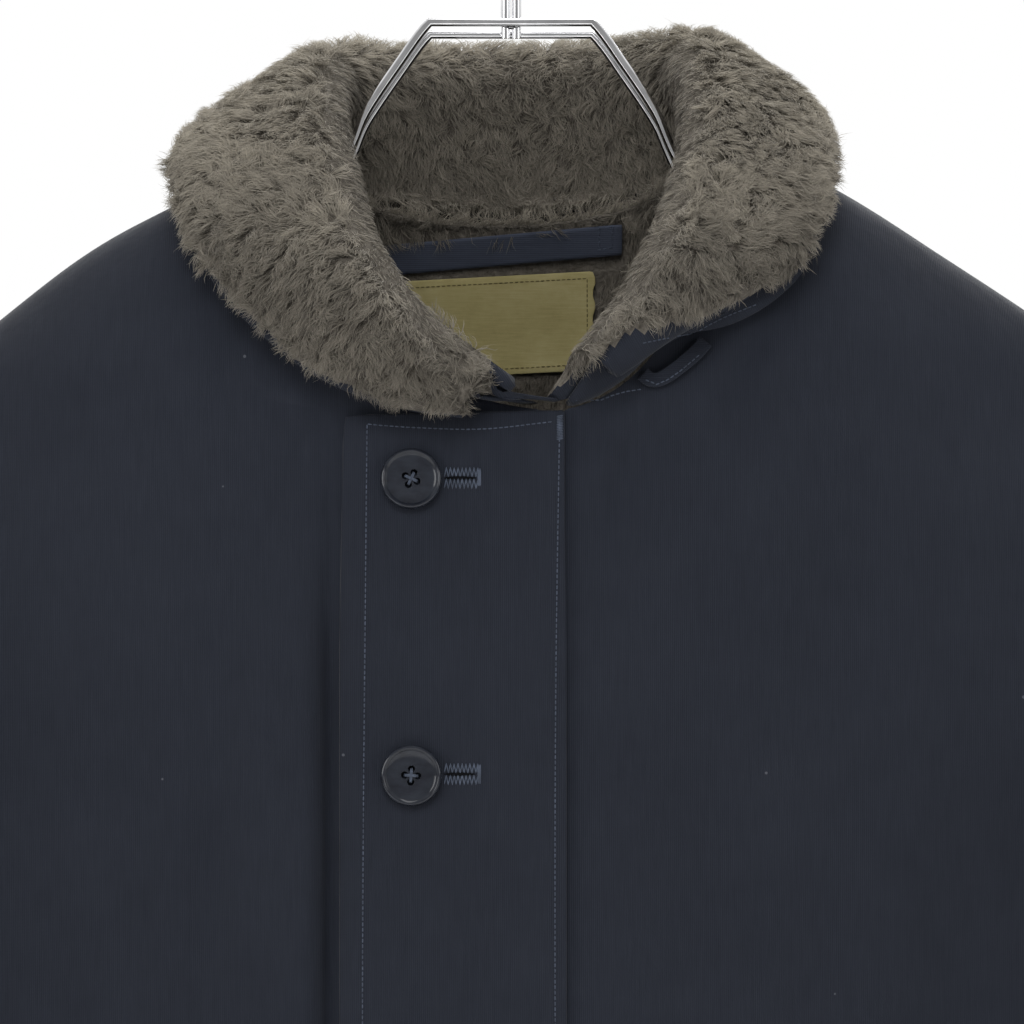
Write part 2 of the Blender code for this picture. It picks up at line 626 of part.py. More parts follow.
def button(name, place, normal, into, cutters):
    mesh = bpy.data.meshes.new(name)
    points = [(x, 0, z) for x, z in button_profile()]
    mesh.from_pydata(points, [(i, i + 1) for i in range(len(points) - 1)], [])
    mesh.materials.append(finish("button plastic"))
    made = bpy.data.objects.new(name, mesh)
    into.objects.link(made)
    turned = made.modifiers.new("turned", "SCREW")
    turned.steps = turned.render_steps = BUTTON_STEPS
    turned.use_merge_vertices = True
    turned.merge_threshold = 0.0001
    holes = bmesh.new()
    for k in range(4):
        angle = math.pi / 4 + k * math.pi / 2
        before = set(holes.verts)
        bmesh.ops.create_cone(
            holes, cap_ends=True, segments=6, radius1=HOLE_RADIUS, radius2=HOLE_RADIUS, depth=4 * BUTTON_THICK
        )
        shift = Vector((HOLE_OUT * math.cos(angle), HOLE_OUT * math.sin(angle), 0))
        for v in set(holes.verts) - before:
            v.co += shift
    tool = bpy.data.meshes.new(name + "_holes")
    holes.to_mesh(tool)
    holes.free()
    cutter = bpy.data.objects.new(name + "_holes", tool)
    cutters.objects.link(cutter)
    cutter.hide_render = True
    cutter.display_type = "WIRE"
    cut = made.modifiers.new("holes", "BOOLEAN")
    cut.operation = "DIFFERENCE"
    cut.object = cutter
    for ob in (made, cutter):
        ob.location = place
        ob.rotation_euler = Vector(normal).to_track_quat("Z", "Y").to_euler()


def buttons(into, cutters):
    for k in range(BUTTON_COUNT):
        z = BUTTON_FIRST_Z - k * BUTTON_SPACING
        normal = body_normal(-1, BUTTON_X, z)
        seat = lift(-1, BUTTON_X, z, WALL + BUTTON_LIFT)
        button(f"button_{k + 1}", seat, normal, into, cutters)


def throat_latch(into):
    """A tab looped flat on the front, under the wearer's left collar."""
    x = column(LATCH_PATH, "x")
    z = column(LATCH_PATH, "z")
    heading = unit(np.stack([np.gradient(x), np.gradient(z)], axis=-1))
    line = np.stack([x, 0 * x, z], axis=-1)
    inward = LATCH_WIDE * np.stack([-heading[:, 1], 0 * x, heading[:, 0]], axis=-1)
    inner = np.array([line + share * inward for share in LATCH_SHARES])
    inner[..., 1] = body_point(-1, inner[..., 0], inner[..., 2])[..., 1] - 2 * GAP
    outer = inner - np.array([0, LATCH_THICK, 0])
    return wall("throat_latch", outer, inner, "navy cloth", into)


def wire(name, points, into, cyclic=False):
    curve = bpy.data.curves.new(name, "CURVE")
    curve.dimensions = "3D"
    spline = curve.splines.new("POLY")
    spline.points.add(len(points) - 1)
    for place, point in zip(spline.points, points):
        place.co = (*point, 1)
    spline.use_cyclic_u = cyclic
    curve.bevel_depth = WIRE_RADIUS
    curve.bevel_resolution = 2
    curve.use_fill_caps = not cyclic
    curve.materials.append(finish("chrome"))
    made = bpy.data.objects.new(name, curve)
    into.objects.link(made)
    return made


def arm_points(side):
    """One arm of the frame, from the bar's bend to its end under the shoulder."""
    under = WALL + ARM_CLEAR + WIRE_RADIUS * ARM_SLOPE_ROOM
    seat = [(side * out, float(shoulder_z(side * out)) - under) for out in ARM_OUTS]
    route = [(side * BAR_HALF, BAR_Z)] + [(side * x, z) for x, z in ARM_NECK] + seat
    route = np.array(route)
    travel = np.concatenate([[0], np.cumsum(np.linalg.norm(np.diff(route, axis=0), axis=1))])
    at = travel[-1] * np.linspace(0, 1, ARM_STEPS) ** ARM_SPREAD
    return np.stack([smooth_curve(travel, route[:, 0], at), smooth_curve(travel, route[:, 1], at)], axis=-1)


def end_turn(end, side, angle):
    """A point of the turn that joins the two wires past an arm's end."""
    drop = BACK_WIRE_DROP * (angle if side > 0 else math.pi - angle) / math.pi
    x = end[0] + side * FRAME_HALF_GAP * math.sin(angle)
    return (x, -side * FRAME_HALF_GAP * math.cos(angle), end[1] - END_DROP - drop)


def hanger_frame(into):
    """Two wires, one behind the other and a little lower, joined by a turn at each end."""
    left = arm_points(1)
    right = arm_points(-1)[::-1]
    front = np.concatenate([right, left])
    back = front[::-1] + np.array([0, -BACK_WIRE_DROP])
    loop = [(x, -FRAME_HALF_GAP, z) for x, z in front]
    loop += [end_turn(front[-1], 1, angle) for angle in TURN_ANGLES]
    loop += [(x, FRAME_HALF_GAP, z) for x, z in back]
    loop += [end_turn(front[0], -1, angle) for angle in TURN_ANGLES]
    return wire("hanger_frame", loop, into, cyclic=True)


def hook_line():
    """The line midway between the hook's two wires, from the tip over the rail and down the stem."""
    radius = RAIL_RADIUS + WIRE_RADIUS + STEM_HALF
    centre = np.array([0, -RAIL_RADIUS])
    angles = np.linspace(HOOK_TIP_ANGLE, HOOK_TURN_ANGLE, 17)
    bow = centre + radius * np.stack([np.cos(angles), np.sin(angles)], axis=-1)
    lean = -HOOK_TURN_ANGLE
    sideways = bow[-1][0] - HOOK_NECK_RADIUS * (1 - math.cos(lean))
    straight = sideways / math.sin(lean)
    neck_top = bow[-1] + straight * np.array([-math.sin(lean), -math.cos(lean)])
    neck_centre = neck_top + HOOK_NECK_RADIUS * np.array([math.cos(lean), -math.sin(lean)])
    neck_angles = np.linspace(math.pi + lean, math.pi, 6)
    neck = [neck_centre + HOOK_NECK_RADIUS * np.array([math.cos(a), -math.sin(a)]) for a in neck_angles]
    stem = [np.array([0, neck[-1][1] + (STEM_BOTTOM_Z - neck[-1][1]) * s]) for s in (0.5, 1)]
    return np.array([*bow, *neck, *stem])


def hanger_hook(into):
    """One wire folded double: down the stem's two sides and joined by a turn at the hook's tip."""
    line = hook_line()
    heading = unit(np.gradient(line, axis=0))
    side = np.stack([-heading[:, 1], heading[:, 0]], axis=-1)
    one = line + STEM_HALF * side
    other = line - STEM_HALF * side
    turn = []
    for angle in TURN_ANGLES:
        back = heading[0] * math.sin(angle)
        turn.append(line[0] + STEM_HALF * (side[0] * math.cos(angle) - back))
    route = np.concatenate([one[::-1], turn, other])
    return wire("hanger_hook", [(x, 0, z) for x, z in route], into)


def build():
    clear_scene()
    jacket = collection("deck_jacket")
    cutters = collection("cutters", drawn=False)
    right = front_grid(-1, RIGHT_COLUMNS)
    left = front_grid(1, LEFT_COLUMNS)
    back = back_grid()
    body_wall("front_right", -1, right, jacket)
    body_wall("front_left", -1, left, jacket)
    body_wall("back", 1, back, jacket)
    sleeve("sleeve_right", -1, right, back, jacket)
    sleeve("sleeve_left", 1, left, back, jacket)
    storm_flap(jacket)
    collar(jacket)
    lining = neck_lining(jacket)
    strip_on_lining(
        "hanging_loop", lining, (LOOP_LEFT_X, LOOP_RIGHT_X), (LOOP_LEFT_Z, LOOP_RIGHT_Z),
        LOOP_TALL, LOOP_THICK, "navy cloth", jacket,
    )
    strip_on_lining(
        "label", lining, (LABEL_LEFT_X, LABEL_RIGHT_X), (LABEL_LEFT_Z, LABEL_RIGHT_Z),
        LABEL_TALL, LABEL_THICK, "label cloth", jacket,
    )
    buttons(jacket, cutters)
    throat_latch(jacket)
    hanger_frame(jacket)
    hanger_hook(jacket)


build()
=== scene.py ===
import math
import bmesh
import bpy
import numpy as np
from mathutils import Matrix, Vector, kdtree
from mathutils.bvhtree import BVHTree


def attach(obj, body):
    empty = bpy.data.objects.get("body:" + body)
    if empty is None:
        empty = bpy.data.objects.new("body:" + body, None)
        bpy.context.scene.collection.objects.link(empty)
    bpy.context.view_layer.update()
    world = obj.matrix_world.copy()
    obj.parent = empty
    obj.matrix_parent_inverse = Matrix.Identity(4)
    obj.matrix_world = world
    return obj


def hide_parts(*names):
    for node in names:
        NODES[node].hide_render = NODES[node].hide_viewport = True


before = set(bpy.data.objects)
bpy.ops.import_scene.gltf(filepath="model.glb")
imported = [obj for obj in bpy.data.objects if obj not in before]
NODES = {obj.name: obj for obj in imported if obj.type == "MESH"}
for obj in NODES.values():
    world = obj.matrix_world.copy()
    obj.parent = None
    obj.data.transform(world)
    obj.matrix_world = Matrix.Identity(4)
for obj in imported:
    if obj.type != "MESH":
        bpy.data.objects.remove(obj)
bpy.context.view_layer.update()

# Metres. The garment's front faces -Y and its wearer's left is +X.
EYE = (0.00037, -2.6, -0.2793)
LENS = 36 * 2.56 / 0.3793
SIDE_X = 0.235
FRONT_DEPTH = 0.074
BACK_DEPTH = 0.078

# Soft ridges (height above 0) and troughs of the cloth: from x, z to x, z, half width, height
FRONT_CREASES = [
    [-0.0672, -0.262, -0.0685, -0.83, 0.003, -0.0014],
    [-0.078, -0.3, -0.0735, -0.42, 0.005, 0.001],
    [-0.076, -0.395, -0.081, -0.56, 0.006, 0.0012],
    [-0.1005, -0.312, -0.119, -0.47, 0.0075, -0.003],
    [-0.111, -0.352, -0.129, -0.455, 0.006, 0.0014],
    [-0.131, -0.275, -0.15, -0.35, 0.009, -0.0013],
    [-0.17, -0.33, -0.156, -0.47, 0.01, 0.0016],
    [-0.155, -0.44, -0.173, -0.6, 0.012, -0.002],
    [-0.105, -0.52, -0.12, -0.72, 0.011, 0.0018],
    [-0.133, -0.56, -0.136, -0.8, 0.012, -0.0018],
    [-0.19, -0.5, -0.198, -0.64, 0.011, 0.0016],
    [-0.09, -0.64, -0.088, -0.815, 0.008, -0.0012],
    [0.048, -0.242, 0.024, -0.272, 0.006, 0.0022],
    [0.05, -0.25, 0.0235, -0.286, 0.0055, -0.0024],
    [0.087, -0.212, 0.082, -0.248, 0.005, -0.0021],
    [0.096, -0.22, 0.093, -0.26, 0.007, 0.0011],
    [0.06, -0.26, 0.048, -0.355, 0.009, 0.001],
    [0.124, -0.255, 0.112, -0.36, 0.011, -0.0014],
    [0.07, -0.37, 0.062, -0.5, 0.012, -0.0012],
    [0.145, -0.37, 0.13, -0.52, 0.012, 0.0018],
    [0.175, -0.43, 0.167, -0.55, 0.011, -0.0017],
    [0.082, -0.54, 0.075, -0.74, 0.013, 0.0018],
    [0.048, -0.62, 0.043, -0.8, 0.01, -0.0014],
    [0.126, -0.62, 0.133, -0.81, 0.013, -0.0019],
    [0.19, -0.6, 0.195, -0.78, 0.012, 0.0016],
]
BACK_CREASES = [
    [-0.05, -0.2, -0.08, -0.33, 0.012, -0.0016],
    [0.055, -0.21, 0.072, -0.3, 0.011, -0.0013],
    [-0.15, -0.25, -0.135, -0.42, 0.013, 0.0018],
    [0.155, -0.27, 0.145, -0.4, 0.012, 0.0015],
    [-0.035, -0.38, -0.03, -0.6, 0.014, 0.0016],
    [0.04, -0.45, 0.052, -0.69, 0.014, -0.0019],
    [-0.17, -0.45, -0.16, -0.64, 0.012, -0.0019],
    [0.175, -0.42, 0.17, -0.58, 0.011, 0.0018],
    [-0.085, -0.6, -0.07, -0.8, 0.013, -0.0015],
    [0.135, -0.62, 0.13, -0.81, 0.013, -0.0017],
    [0.085, -0.56, 0.095, -0.7, 0.01, 0.0013],
    [-0.195, -0.62, -0.2, -0.78, 0.011, 0.0014],
]
# Creases round a sleeve: z of its middle, angle where it lies, angle it spans, fall across that span,
# half width, height
SLEEVE_CREASES = [
    [-0.3, -1.7, 1.1, -0.03, 0.009, -0.0016],
    [-0.345, -0.8, 1.2, 0.034, 0.01, 0.0017],
    [-0.398, 2.4, 1.0, -0.026, 0.009, -0.0018],
    [-0.43, -2.2, 1.3, 0.04, 0.011, 0.0018],
    [-0.492, -1.2, 1.4, -0.036, 0.01, -0.0024],
    [-0.52, 1.5, 1.1, 0.022, 0.009, -0.0019],
    [-0.556, -1.9, 1.5, 0.03, 0.01, 0.0024],
    [-0.588, -0.6, 1.2, -0.02, 0.008, -0.0022],
    [-0.64, 2.2, 1.5, 0.04, 0.011, 0.002],
    [-0.668, -1.5, 1.1, -0.028, 0.01, -0.0017],
    [-0.724, -2.5, 1.2, 0.025, 0.011, 0.0016],
    [-0.77, -0.9, 1.0, -0.018, 0.009, -0.0014],
]

# How much deeper the back's and the sleeves' creases are pressed
BACK_PRESS = 1.6
SLEEVE_PRESS = 1.5
# A crease's bow to one side, and the softer shoulders beside it
CREASE_BOW = 0.35
SHOULDER_SHARE = 0.3
SHOULDER_OFF = 1.9

# Where the creases die away: out to the body's sides, and up to its shoulders
SIDE_CALM = (0.165, 0.222)
SHOULDER_CALM = (-0.225, -0.165)
# Spacing of the level rings that give a sleeve's middle line, and a sleeve's mean radius
RING_STEP = 0.02
SLEEVE_RADIUS = 0.062

CORD_SPACING = 0.00074
STITCH_LENGTH = 0.0015
STITCH_PITCH = 0.0020
HIDDEN_PITCH = 0.0030
STITCH_RADIUS = 0.00027

BUTTONS = [
    {"place": (-0.03638, -0.07547, -0.26728), "facing": (-0.0237, -0.9949, 0.0979)},
    {"place": (-0.03638, -0.07708, -0.37540), "facing": (-0.0232, -0.9997, -0.0009)},
    {"place": (-0.03639, -0.07701, -0.48320), "facing": (-0.0279, -0.9996, 0.0)},
    {"place": (-0.03639, -0.07701, -0.59100), "facing": (-0.0276, -0.9996, 0.0)},
    {"place": (-0.03639, -0.07702, -0.69880), "facing": (-0.0273, -0.9996, 0.0)},
]
BUTTON_RADIUS = 0.0112
BUTTON_THICK = 0.0036
BUTTON_TURN = math.radians(20)
# Each button is turned on its thread by this much more than the one above it
BUTTON_TURN_STEP = 0.37
# A button's four holes: their radius, and how far out they lie
HOLE_RADIUS = 0.0013
HOLE_OUT = 0.0024
# The steps from a button's face in to its dish: share of the width kept, rise in thicknesses
BUTTON_STEPS = [(0.955, 0.34), (0.955, 0.06), (0.965, -0.04), (0.93, -0.22), (0.86, -0.12), (0.50, -0.03)]

# A buttonhole's half length, and where its middle lies from its button's
HOLE_HALF = 0.0060
HOLE_ASIDE = 0.0184
HOLE_UP = 0.0004

WIRE_RADIUS = 0.0018
FRAME_HALF_GAP = 0.00405
BACK_WIRE_DROP = 0.0041
STEM_HALF = 0.00205
LEFT_ARM = [
    (0.0305, -0.0953), (0.0331, -0.0981), (0.0367, -0.1028), (0.0407, -0.1087), (0.0453, -0.1153),
    (0.0502, -0.1225), (0.0551, -0.1305), (0.0589, -0.1396), (0.0638, -0.1488), (0.0729, -0.1550),
    (0.0837, -0.1569), (0.0959, -0.1555), (0.1078, -0.1568), (0.1190, -0.1623), (0.1301, -0.1691),
    (0.1413, -0.1761), (0.1525, -0.1836), (0.1640, -0.1912), (0.1759, -0.1987), (0.1879, -0.2065),
    (0.2000, -0.2147),
]
RIGHT_ARM = [
    (-0.0305, -0.0953), (-0.0331, -0.0981), (-0.0367, -0.1029), (-0.0408, -0.1088), (-0.0454, -0.1154),
    (-0.0504, -0.1227), (-0.0553, -0.1307), (-0.0590, -0.1400), (-0.0641, -0.1491), (-0.0733, -0.1552),
    (-0.0842, -0.1581), (-0.0963, -0.1589), (-0.1081, -0.1616), (-0.1195, -0.1670), (-0.1310, -0.1731),
    (-0.1428, -0.1791), (-0.1547, -0.1856), (-0.1662, -0.1933), (-0.1773, -0.2021), (-0.1886, -0.2112),
    (-0.2000, -0.2205),
]
HOOK_LINE = [
    (-0.0205, -0.0255), (-0.0218, -0.0199), (-0.0215, -0.0142), (-0.0198, -0.0088), (-0.0167, -0.0040),
    (-0.0125, -0.0001), (-0.0075, 0.0025), (-0.0019, 0.0038), (0.0038, 0.0035), (0.0092, 0.0018),
    (0.0140, -0.0013), (0.0179, -0.0055), (0.0205, -0.0105), (0.0218, -0.0161), (0.0215, -0.0218),
    (0.0198, -0.0272), (0.0167, -0.0320), (0.0118, -0.0378), (0.0070, -0.0436), (0.0046, -0.0470),
    (0.0026, -0.0507), (0.0012, -0.0546), (0.0003, -0.0587), (0.0, -0.0629), (0.0, -0.0821),
    (0.0, -0.1012),
]

# How far the backing lies under the solid's face, and how much more where the falls look into the neck
PILE_SINK = 0.0018
INNER_SINK = 0.0026
PILE_LENGTH = 0.0074
CLUMP_SIZE = 0.0038
STRAND_WIDTH = 0.00024
# How much paler a hair's seven points are, from its root to its tip
TONE_STEPS = [-0.16, -0.16, -0.02, -0.02, 0.07, 0.07, 0.18]

# The lower edge of the collar's pile in front, as x and height; below it the bed is turned cloth. At the
# middle the edge rises to -0.100, so the bed there is navy cloth from top to bottom: partly the collar's
# lobe, partly painted shade in place of the lining, which lies dark there.
PILE_EDGE = [
    (-0.1261, -0.1764), (-0.0769, -0.2257), (-0.0405, -0.2421), (-0.0149, -0.2450), (-0.0075, -0.2421),
    (-0.0068, -0.1000), (0.0120, -0.1000), (0.0130, -0.2377), (0.0248, -0.2275), (0.0401, -0.2162),
    (0.0525, -0.2129), (0.0685, -0.2092), (0.0853, -0.2019), (0.1054, -0.1910), (0.1192, -0.1619),
]
# How far over that edge the hairs begin
PILE_EDGE_ROOM = 0.0038
# The lining's top edge inside the neck, as x and height
LINING_TOP = [
    (-0.0740, -0.1522), (-0.0480, -0.1657), (-0.0260, -0.1698), (0.0, -0.1708),
    (0.0260, -0.1684), (0.0480, -0.1632), (0.0740, -0.1484),
]


class Value:
    """A socket of a material, on which Python's own signs add Math nodes."""

    def __init__(self, finish, socket):
        self.finish = finish
        self.socket = socket

    def math(self, operation, first, second):
        return self.finish.node("ShaderNodeMath", {"operation": operation}, {0: first, 1: second})

    def __add__(self, other):
        return self.math("ADD", self, other)

    def __sub__(self, other):
        return self.math("SUBTRACT", self, other)

    def __mul__(self, other):
        return self.math("MULTIPLY", self, other)

    def __rsub__(self, other):
        return self.math("SUBTRACT", other, self)

    __radd__ = __add__
    __rmul__ = __mul__

    def sine(self):
        return self.math("SINE", self, 0.0)

    def over(self, limit):
        return self.math("GREATER_THAN", self, limit)

    def under(self, limit):
        return self.math("LESS_THAN", self, limit)


class Finish:
    """A material, built up from the nodes that one piece's surface needs."""

    def __init__(self, name, **constants):
        self.material = bpy.data.materials.new(name)
        self.material.use_nodes = True
        self.tree = self.material.node_tree
        self.surface = self.tree.nodes["Principled BSDF"]
        for socket, value in constants.items():
            self.surface.inputs[socket.replace("_", " ")].default_value = value

    def node(self, kind, settings, inputs, output=0):
        made = self.tree.nodes.new(kind)
        for key, value in settings.items():
            if key == "stops":
                self.ramp(made, value)
            else:
                setattr(made, key, value)
        for key, value in inputs.items():
            self.feed(made.inputs[key], value)
        return Value(self, made.outputs[output])

    def ramp(self, node, stops):
        elements = node.color_ramp.elements
        while len(elements) > 1:
            elements.remove(elements[-1])
        elements[0].position = stops[0][0]
        elements[0].color = (*stops[0][1], 1)
        for place, colour in stops[1:]:
            elements.new(place).color = (*colour, 1)

    def feed(self, socket, value):
        if isinstance(value, Value):
            self.tree.links.new(value.socket, socket)
        else:
            socket.default_value = value

    def place(self):
        return self.node("ShaderNodeTexCoord", {}, {}, "Object")

    def lay(self, name, output="Fac"):
        return self.node("ShaderNodeAttribute", {"attribute_name": name}, {}, output)

    def part(self, vector, axis):
        return self.node("ShaderNodeSeparateXYZ", {}, {0: vector}, axis)

    def noise(self, vector, scale, detail=3.0, roughness=0.5):
        inputs = {"Vector": vector, "Scale": scale, "Detail": detail, "Roughness": roughness}
        return self.node("ShaderNodeTexNoise", {}, inputs)

    def stretched(self, vector, scale):
        return self.node("ShaderNodeMapping", {}, {"Vector": vector, "Scale": scale})

    def colours(self, value, stops):
        return self.node("ShaderNodeValToRGB", {"stops": stops}, {0: value})

    def blend(self, share, first, second):
        inputs = {0: share, 6: first, 7: (*second, 1)}
        return self.node("ShaderNodeMix", {"data_type": "RGBA"}, inputs, 2)

    def relief(self, height, distance, strength=1.0, under=None):
        inputs = {"Height": height, "Distance": distance, "Strength": strength}
        if under is not None:
            inputs["Normal"] = under
        return self.node("ShaderNodeBump", {}, inputs)

    def set(self, socket, value):
        self.feed(self.surface.inputs[socket], value)


def navy_cloth(name="corded navy cotton", shade=1.0):
    """Dense matt cotton with fine upright cords, a little fading and a few specks of lint."""
    made = Finish(name, Sheen_Weight=0.07, Sheen_Roughness=0.4, Specular_IOR_Level=0.10)
    cut = made.lay("cut", "Vector")
    place = made.place()
    wander = made.noise(made.stretched(cut, (420, 34, 1)), 1.0, 2.0) - 0.5
    cords = ((made.part(cut, "X") + wander * 0.0007) * (2 * math.pi / CORD_SPACING)).sine() * 0.5 + 0.5
    picks = (made.part(cut, "Y") * (2 * math.pi / 0.00052)).sine() * 0.5 + 0.5
    slub = made.noise(made.stretched(cut, (900, 60, 1)), 1.0, 2.0)
    fading = made.noise(place, 13.0, 4.0, 0.6)
    rubbed = made.noise(place, 90.0, 3.0, 0.6)
    speck = made.node("ShaderNodeTexVoronoi", {"feature": "F1"}, {"Vector": place, "Scale": 95.0}, "Distance")
    chosen = made.noise(place, 41.0, 1.0).over(0.66)
    lint = speck.under(0.055) * chosen
    tone = cords * 0.30 + slub * 0.34 + fading * 0.42 + rubbed * 0.18 - 0.12
    # shade scales the colours below. The loop's large value is a painted lightening against the shade the
    # loop hangs in.
    dark = tuple(shade * c for c in (0.0096, 0.0112, 0.0160))
    middle = tuple(shade * c for c in (0.0140, 0.0162, 0.0228))
    pale = tuple(shade * c for c in (0.0205, 0.0235, 0.0318))
    colour = made.colours(tone, [(0.15, dark), (0.50, middle), (0.88, pale)])
    made.set("Base Color", made.blend(lint * 0.6, colour, (0.10, 0.105, 0.12)))
    made.set("Roughness", fading * 0.10 + 0.80)
    puckers = made.noise(made.stretched(place, (60, 60, 22)), 1.0, 3.0)
    soft = made.relief(puckers, 0.0016, 0.55)
    made.set("Normal", made.relief(cords * 0.75 + picks * 0.15 + slub * 0.35, 0.00011, 0.75, soft))
    return made.material


def thread(name, colour):
    """Twisted sewing thread."""
    made = Finish(name, Roughness=0.7, Specular_IOR_Level=0.3)
    place = made.place()
    twist = (made.part(place, "X") + made.part(place, "Y") + made.part(place, "Z")) * (2 * math.pi / 0.0005)
    worn = made.noise(place, 300.0, 2.0)
    paler = tuple(min(1.0, 1.5 * c) for c in colour)
    darker = tuple(0.62 * c for c in colour)
    made.set("Base Color", made.colours(worn, [(0.25, darker), (0.5, colour), (0.8, paler)]))
    made.set("Normal", made.relief(twist.sine(), 0.00006, 0.6))
    return made.material


def wool_pile(name, roots, middles, tips):
    """Grey-tan wool hair, darker towards its root."""
    made = Finish(name, Sheen_Weight=0.15, Sheen_Roughness=0.5, Specular_IOR_Level=0.22)
    tone = made.lay("tone")
    cloud = made.noise(made.place(), 34.0, 3.0)
    colour = made.colours(tone * 0.86 + cloud * 0.24 - 0.05, [(0.05, roots), (0.45, middles), (0.95, tips)])
    made.set("Base Color", colour)
    made.set("Roughness", tone * 0.15 + 0.62)
    through = made.node("ShaderNodeBsdfTranslucent", {}, {"Color": colour})
    lit = made.node("ShaderNodeMixShader", {}, {0: 0.42, 2: through})
    made.tree.links.new(made.surface.outputs[0], lit.socket.node.inputs[1])
    made.tree.links.new(lit.socket, made.tree.nodes["Material Output"].inputs["Surface"])
    return made.material


def pile_backing(name, dark, pale):
    """The matted woolly bed between the hairs."""
    made = Finish(name, Roughness=0.95, Specular_IOR_Level=0.1)
    place = made.place()
    curls = made.noise(place, 420.0, 4.0, 0.65)
    clumps = made.noise(place, 120.0, 3.0, 0.6)
    made.set("Base Color", made.colours(curls * 0.6 + clumps * 0.4, [(0.32, dark), (0.68, pale)]))
    made.set("Normal", made.relief(curls + clumps, 0.0016, 0.9))
    return made.material


def woven_label(name="mustard cotton label"):
    """Tightly woven mustard tape cloth, a little soiled."""
    made = Finish(name, Roughness=0.8, Sheen_Weight=0.05, Specular_IOR_Level=0.25)
    cut = made.lay("cut", "Vector")
    place = made.place()
    across = (made.part(cut, "X") * (2 * math.pi / 0.00042)).sine()
    along = (made.part(cut, "Y") * (2 * math.pi / 0.00046)).sine()
    weave = across * along * 0.5 + 0.5
    soil = made.noise(place, 60.0, 5.0, 0.65)
    slub = made.noise(made.stretched(cut, (120, 1600, 1)), 1.0, 2.0)
    tone = soil * 0.62 + slub * 0.28 + weave * 0.16
    stops = [(0.22, (0.200, 0.171, 0.073)), (0.50, (0.322, 0.278, 0.124)), (0.80, (0.430, 0.380, 0.200))]
    made.set("Base Color", made.colours(tone, stops))
    made.set("Roughness", soil * 0.15 + 0.72)
    made.set("Normal", made.relief(weave + slub * 0.6, 0.00009, 0.8))
    return made.material


def button_gloss(name="dark horn plastic"):
    """Polished navy-black button plastic with faint cloudy streaks."""
    made = Finish(name, Specular_IOR_Level=0.34)
    place = made.place()
    streaks = made.noise(made.stretched(place, (130, 60, 260)), 1.0, 4.0, 0.6)
    stops = [(0.3, (0.007, 0.008, 0.012)), (0.7, (0.017, 0.020, 0.027))]
    made.set("Base Color", made.colours(streaks, stops))
    scuffs = made.noise(place, 900.0, 3.0)
    made.set("Roughness", scuffs * 0.10 + 0.07)
    made.set("Normal", made.relief(streaks, 0.0002, 0.12))
    return made.material


def chrome(name="polished steel wire"):
    """Bright plated wire with faint drawing marks."""
    made = Finish(name, Metallic=1.0, Roughness=0.08)
    place = made.place()
    haze = made.noise(place, 130.0, 4.0)
    made.set("Base Color", made.colours(haze, [(0.3, (0.62, 0.62, 0.63)), (0.7, (0.80, 0.80, 0.81))]))
    made.set("Roughness", haze * 0.10 + 0.03)
    made.set("Normal", made.relief(made.noise(place, 1500.0, 2.0), 0.00002, 0.25))
    return made.material


def pale_floor(name="pale floor"):
    made = Finish(name, Roughness=0.9)
    cloudy = made.noise(made.place(), 2.0)
    made.set("Base Color", made.colours(cloudy, [(0.3, (0.80, 0.80, 0.80)), (0.7, (0.83, 0.83, 0.83))]))
    return made.material


def smoothstep(low, high, at):
    t = np.clip((at - low) / (high - low), 0, 1)
    return t * t * (3 - 2 * t)


def unit(vectors):
    return vectors / np.maximum(np.linalg.norm(vectors, axis=-1, keepdims=True), 1e-12)


def added(name, mesh):
    """A new object of this mesh, in the scene."""
    piece = bpy.data.objects.new(name, mesh)
    bpy.context.collection.objects.link(piece)
    return piece


def only(piece):
    """Selects this piece alone."""
    bpy.ops.object.select_all(action="DESELECT")
    piece.select_set(True)
    bpy.context.view_layer.objects.active = piece


def points_of(piece):
    found = np.empty(3 * len(piece.data.vertices))
    piece.data.vertices.foreach_get("co", found)
    return found.reshape(-1, 3)


def move_points(piece, points):
    piece.data.vertices.foreach_set("co", np.ascontiguousarray(points).ravel())
    piece.data.update()


def normals_of(piece):
    return np.array([v.normal[:] for v in piece.data.vertices])


def tree_of(*pieces):
    points, faces = [], []
    for piece in pieces:
        base = len(points)
        points += [v.co.copy() for v in piece.data.vertices]
        faces += [[base + i for i in p.vertices] for p in piece.data.polygons]
    return BVHTree.FromPolygons(points, faces)


def shell(name, node, levels, material):
    """A finer copy of a cloth solid: doubles merged, quads found, rims kept sharp, then subdivided."""
    piece = added(name, NODES[node].data.copy())
    only(piece)
    bpy.ops.object.mode_set(mode="EDIT")
    bpy.ops.mesh.select_mode(type="EDGE")
    bpy.ops.mesh.select_all(action="SELECT")
    bpy.ops.mesh.remove_doubles(threshold=0.00002)
    bpy.ops.mesh.tris_convert_to_quads(face_threshold=math.radians(50), shape_threshold=math.radians(60))
    bpy.ops.mesh.select_all(action="DESELECT")
    bpy.ops.mesh.edges_select_sharp(sharpness=math.radians(55))
    bpy.ops.transform.edge_crease(value=0.75)
    bpy.ops.object.mode_set(mode="OBJECT")
    finer = piece.modifiers.new("finer", "SUBSURF")
    finer.levels = finer.render_levels = levels
    bpy.ops.object.modifier_apply(modifier="finer")
    bpy.ops.object.shade_smooth()
    piece.data.materials.clear()
    piece.data.materials.append(material)
    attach(piece, "root")
    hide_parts(node)
    return piece


def section_length(x, depth, square):
    """Length round the body's section from its middle out to each x."""
    at = np.linspace(0, 1, 400)
    y = depth * (1 - at**square) ** (1 / square)
    steps = np.hypot(np.diff(at * SIDE_X), np.diff(y))
    length = np.concatenate([[0], np.cumsum(steps)])
    return np.sign(x) * np.interp(np.abs(x) / SIDE_X, at, length)


def lay_on(piece, across, along):
    """Stores where each point lies in the flat cut, across and along the cords."""
    layer = piece.data.attributes.new("cut", "FLOAT_VECTOR", "POINT")
    values = np.stack([across, along, 0 * across], axis=-1)
    layer.data.foreach_set("vector", values.ravel())


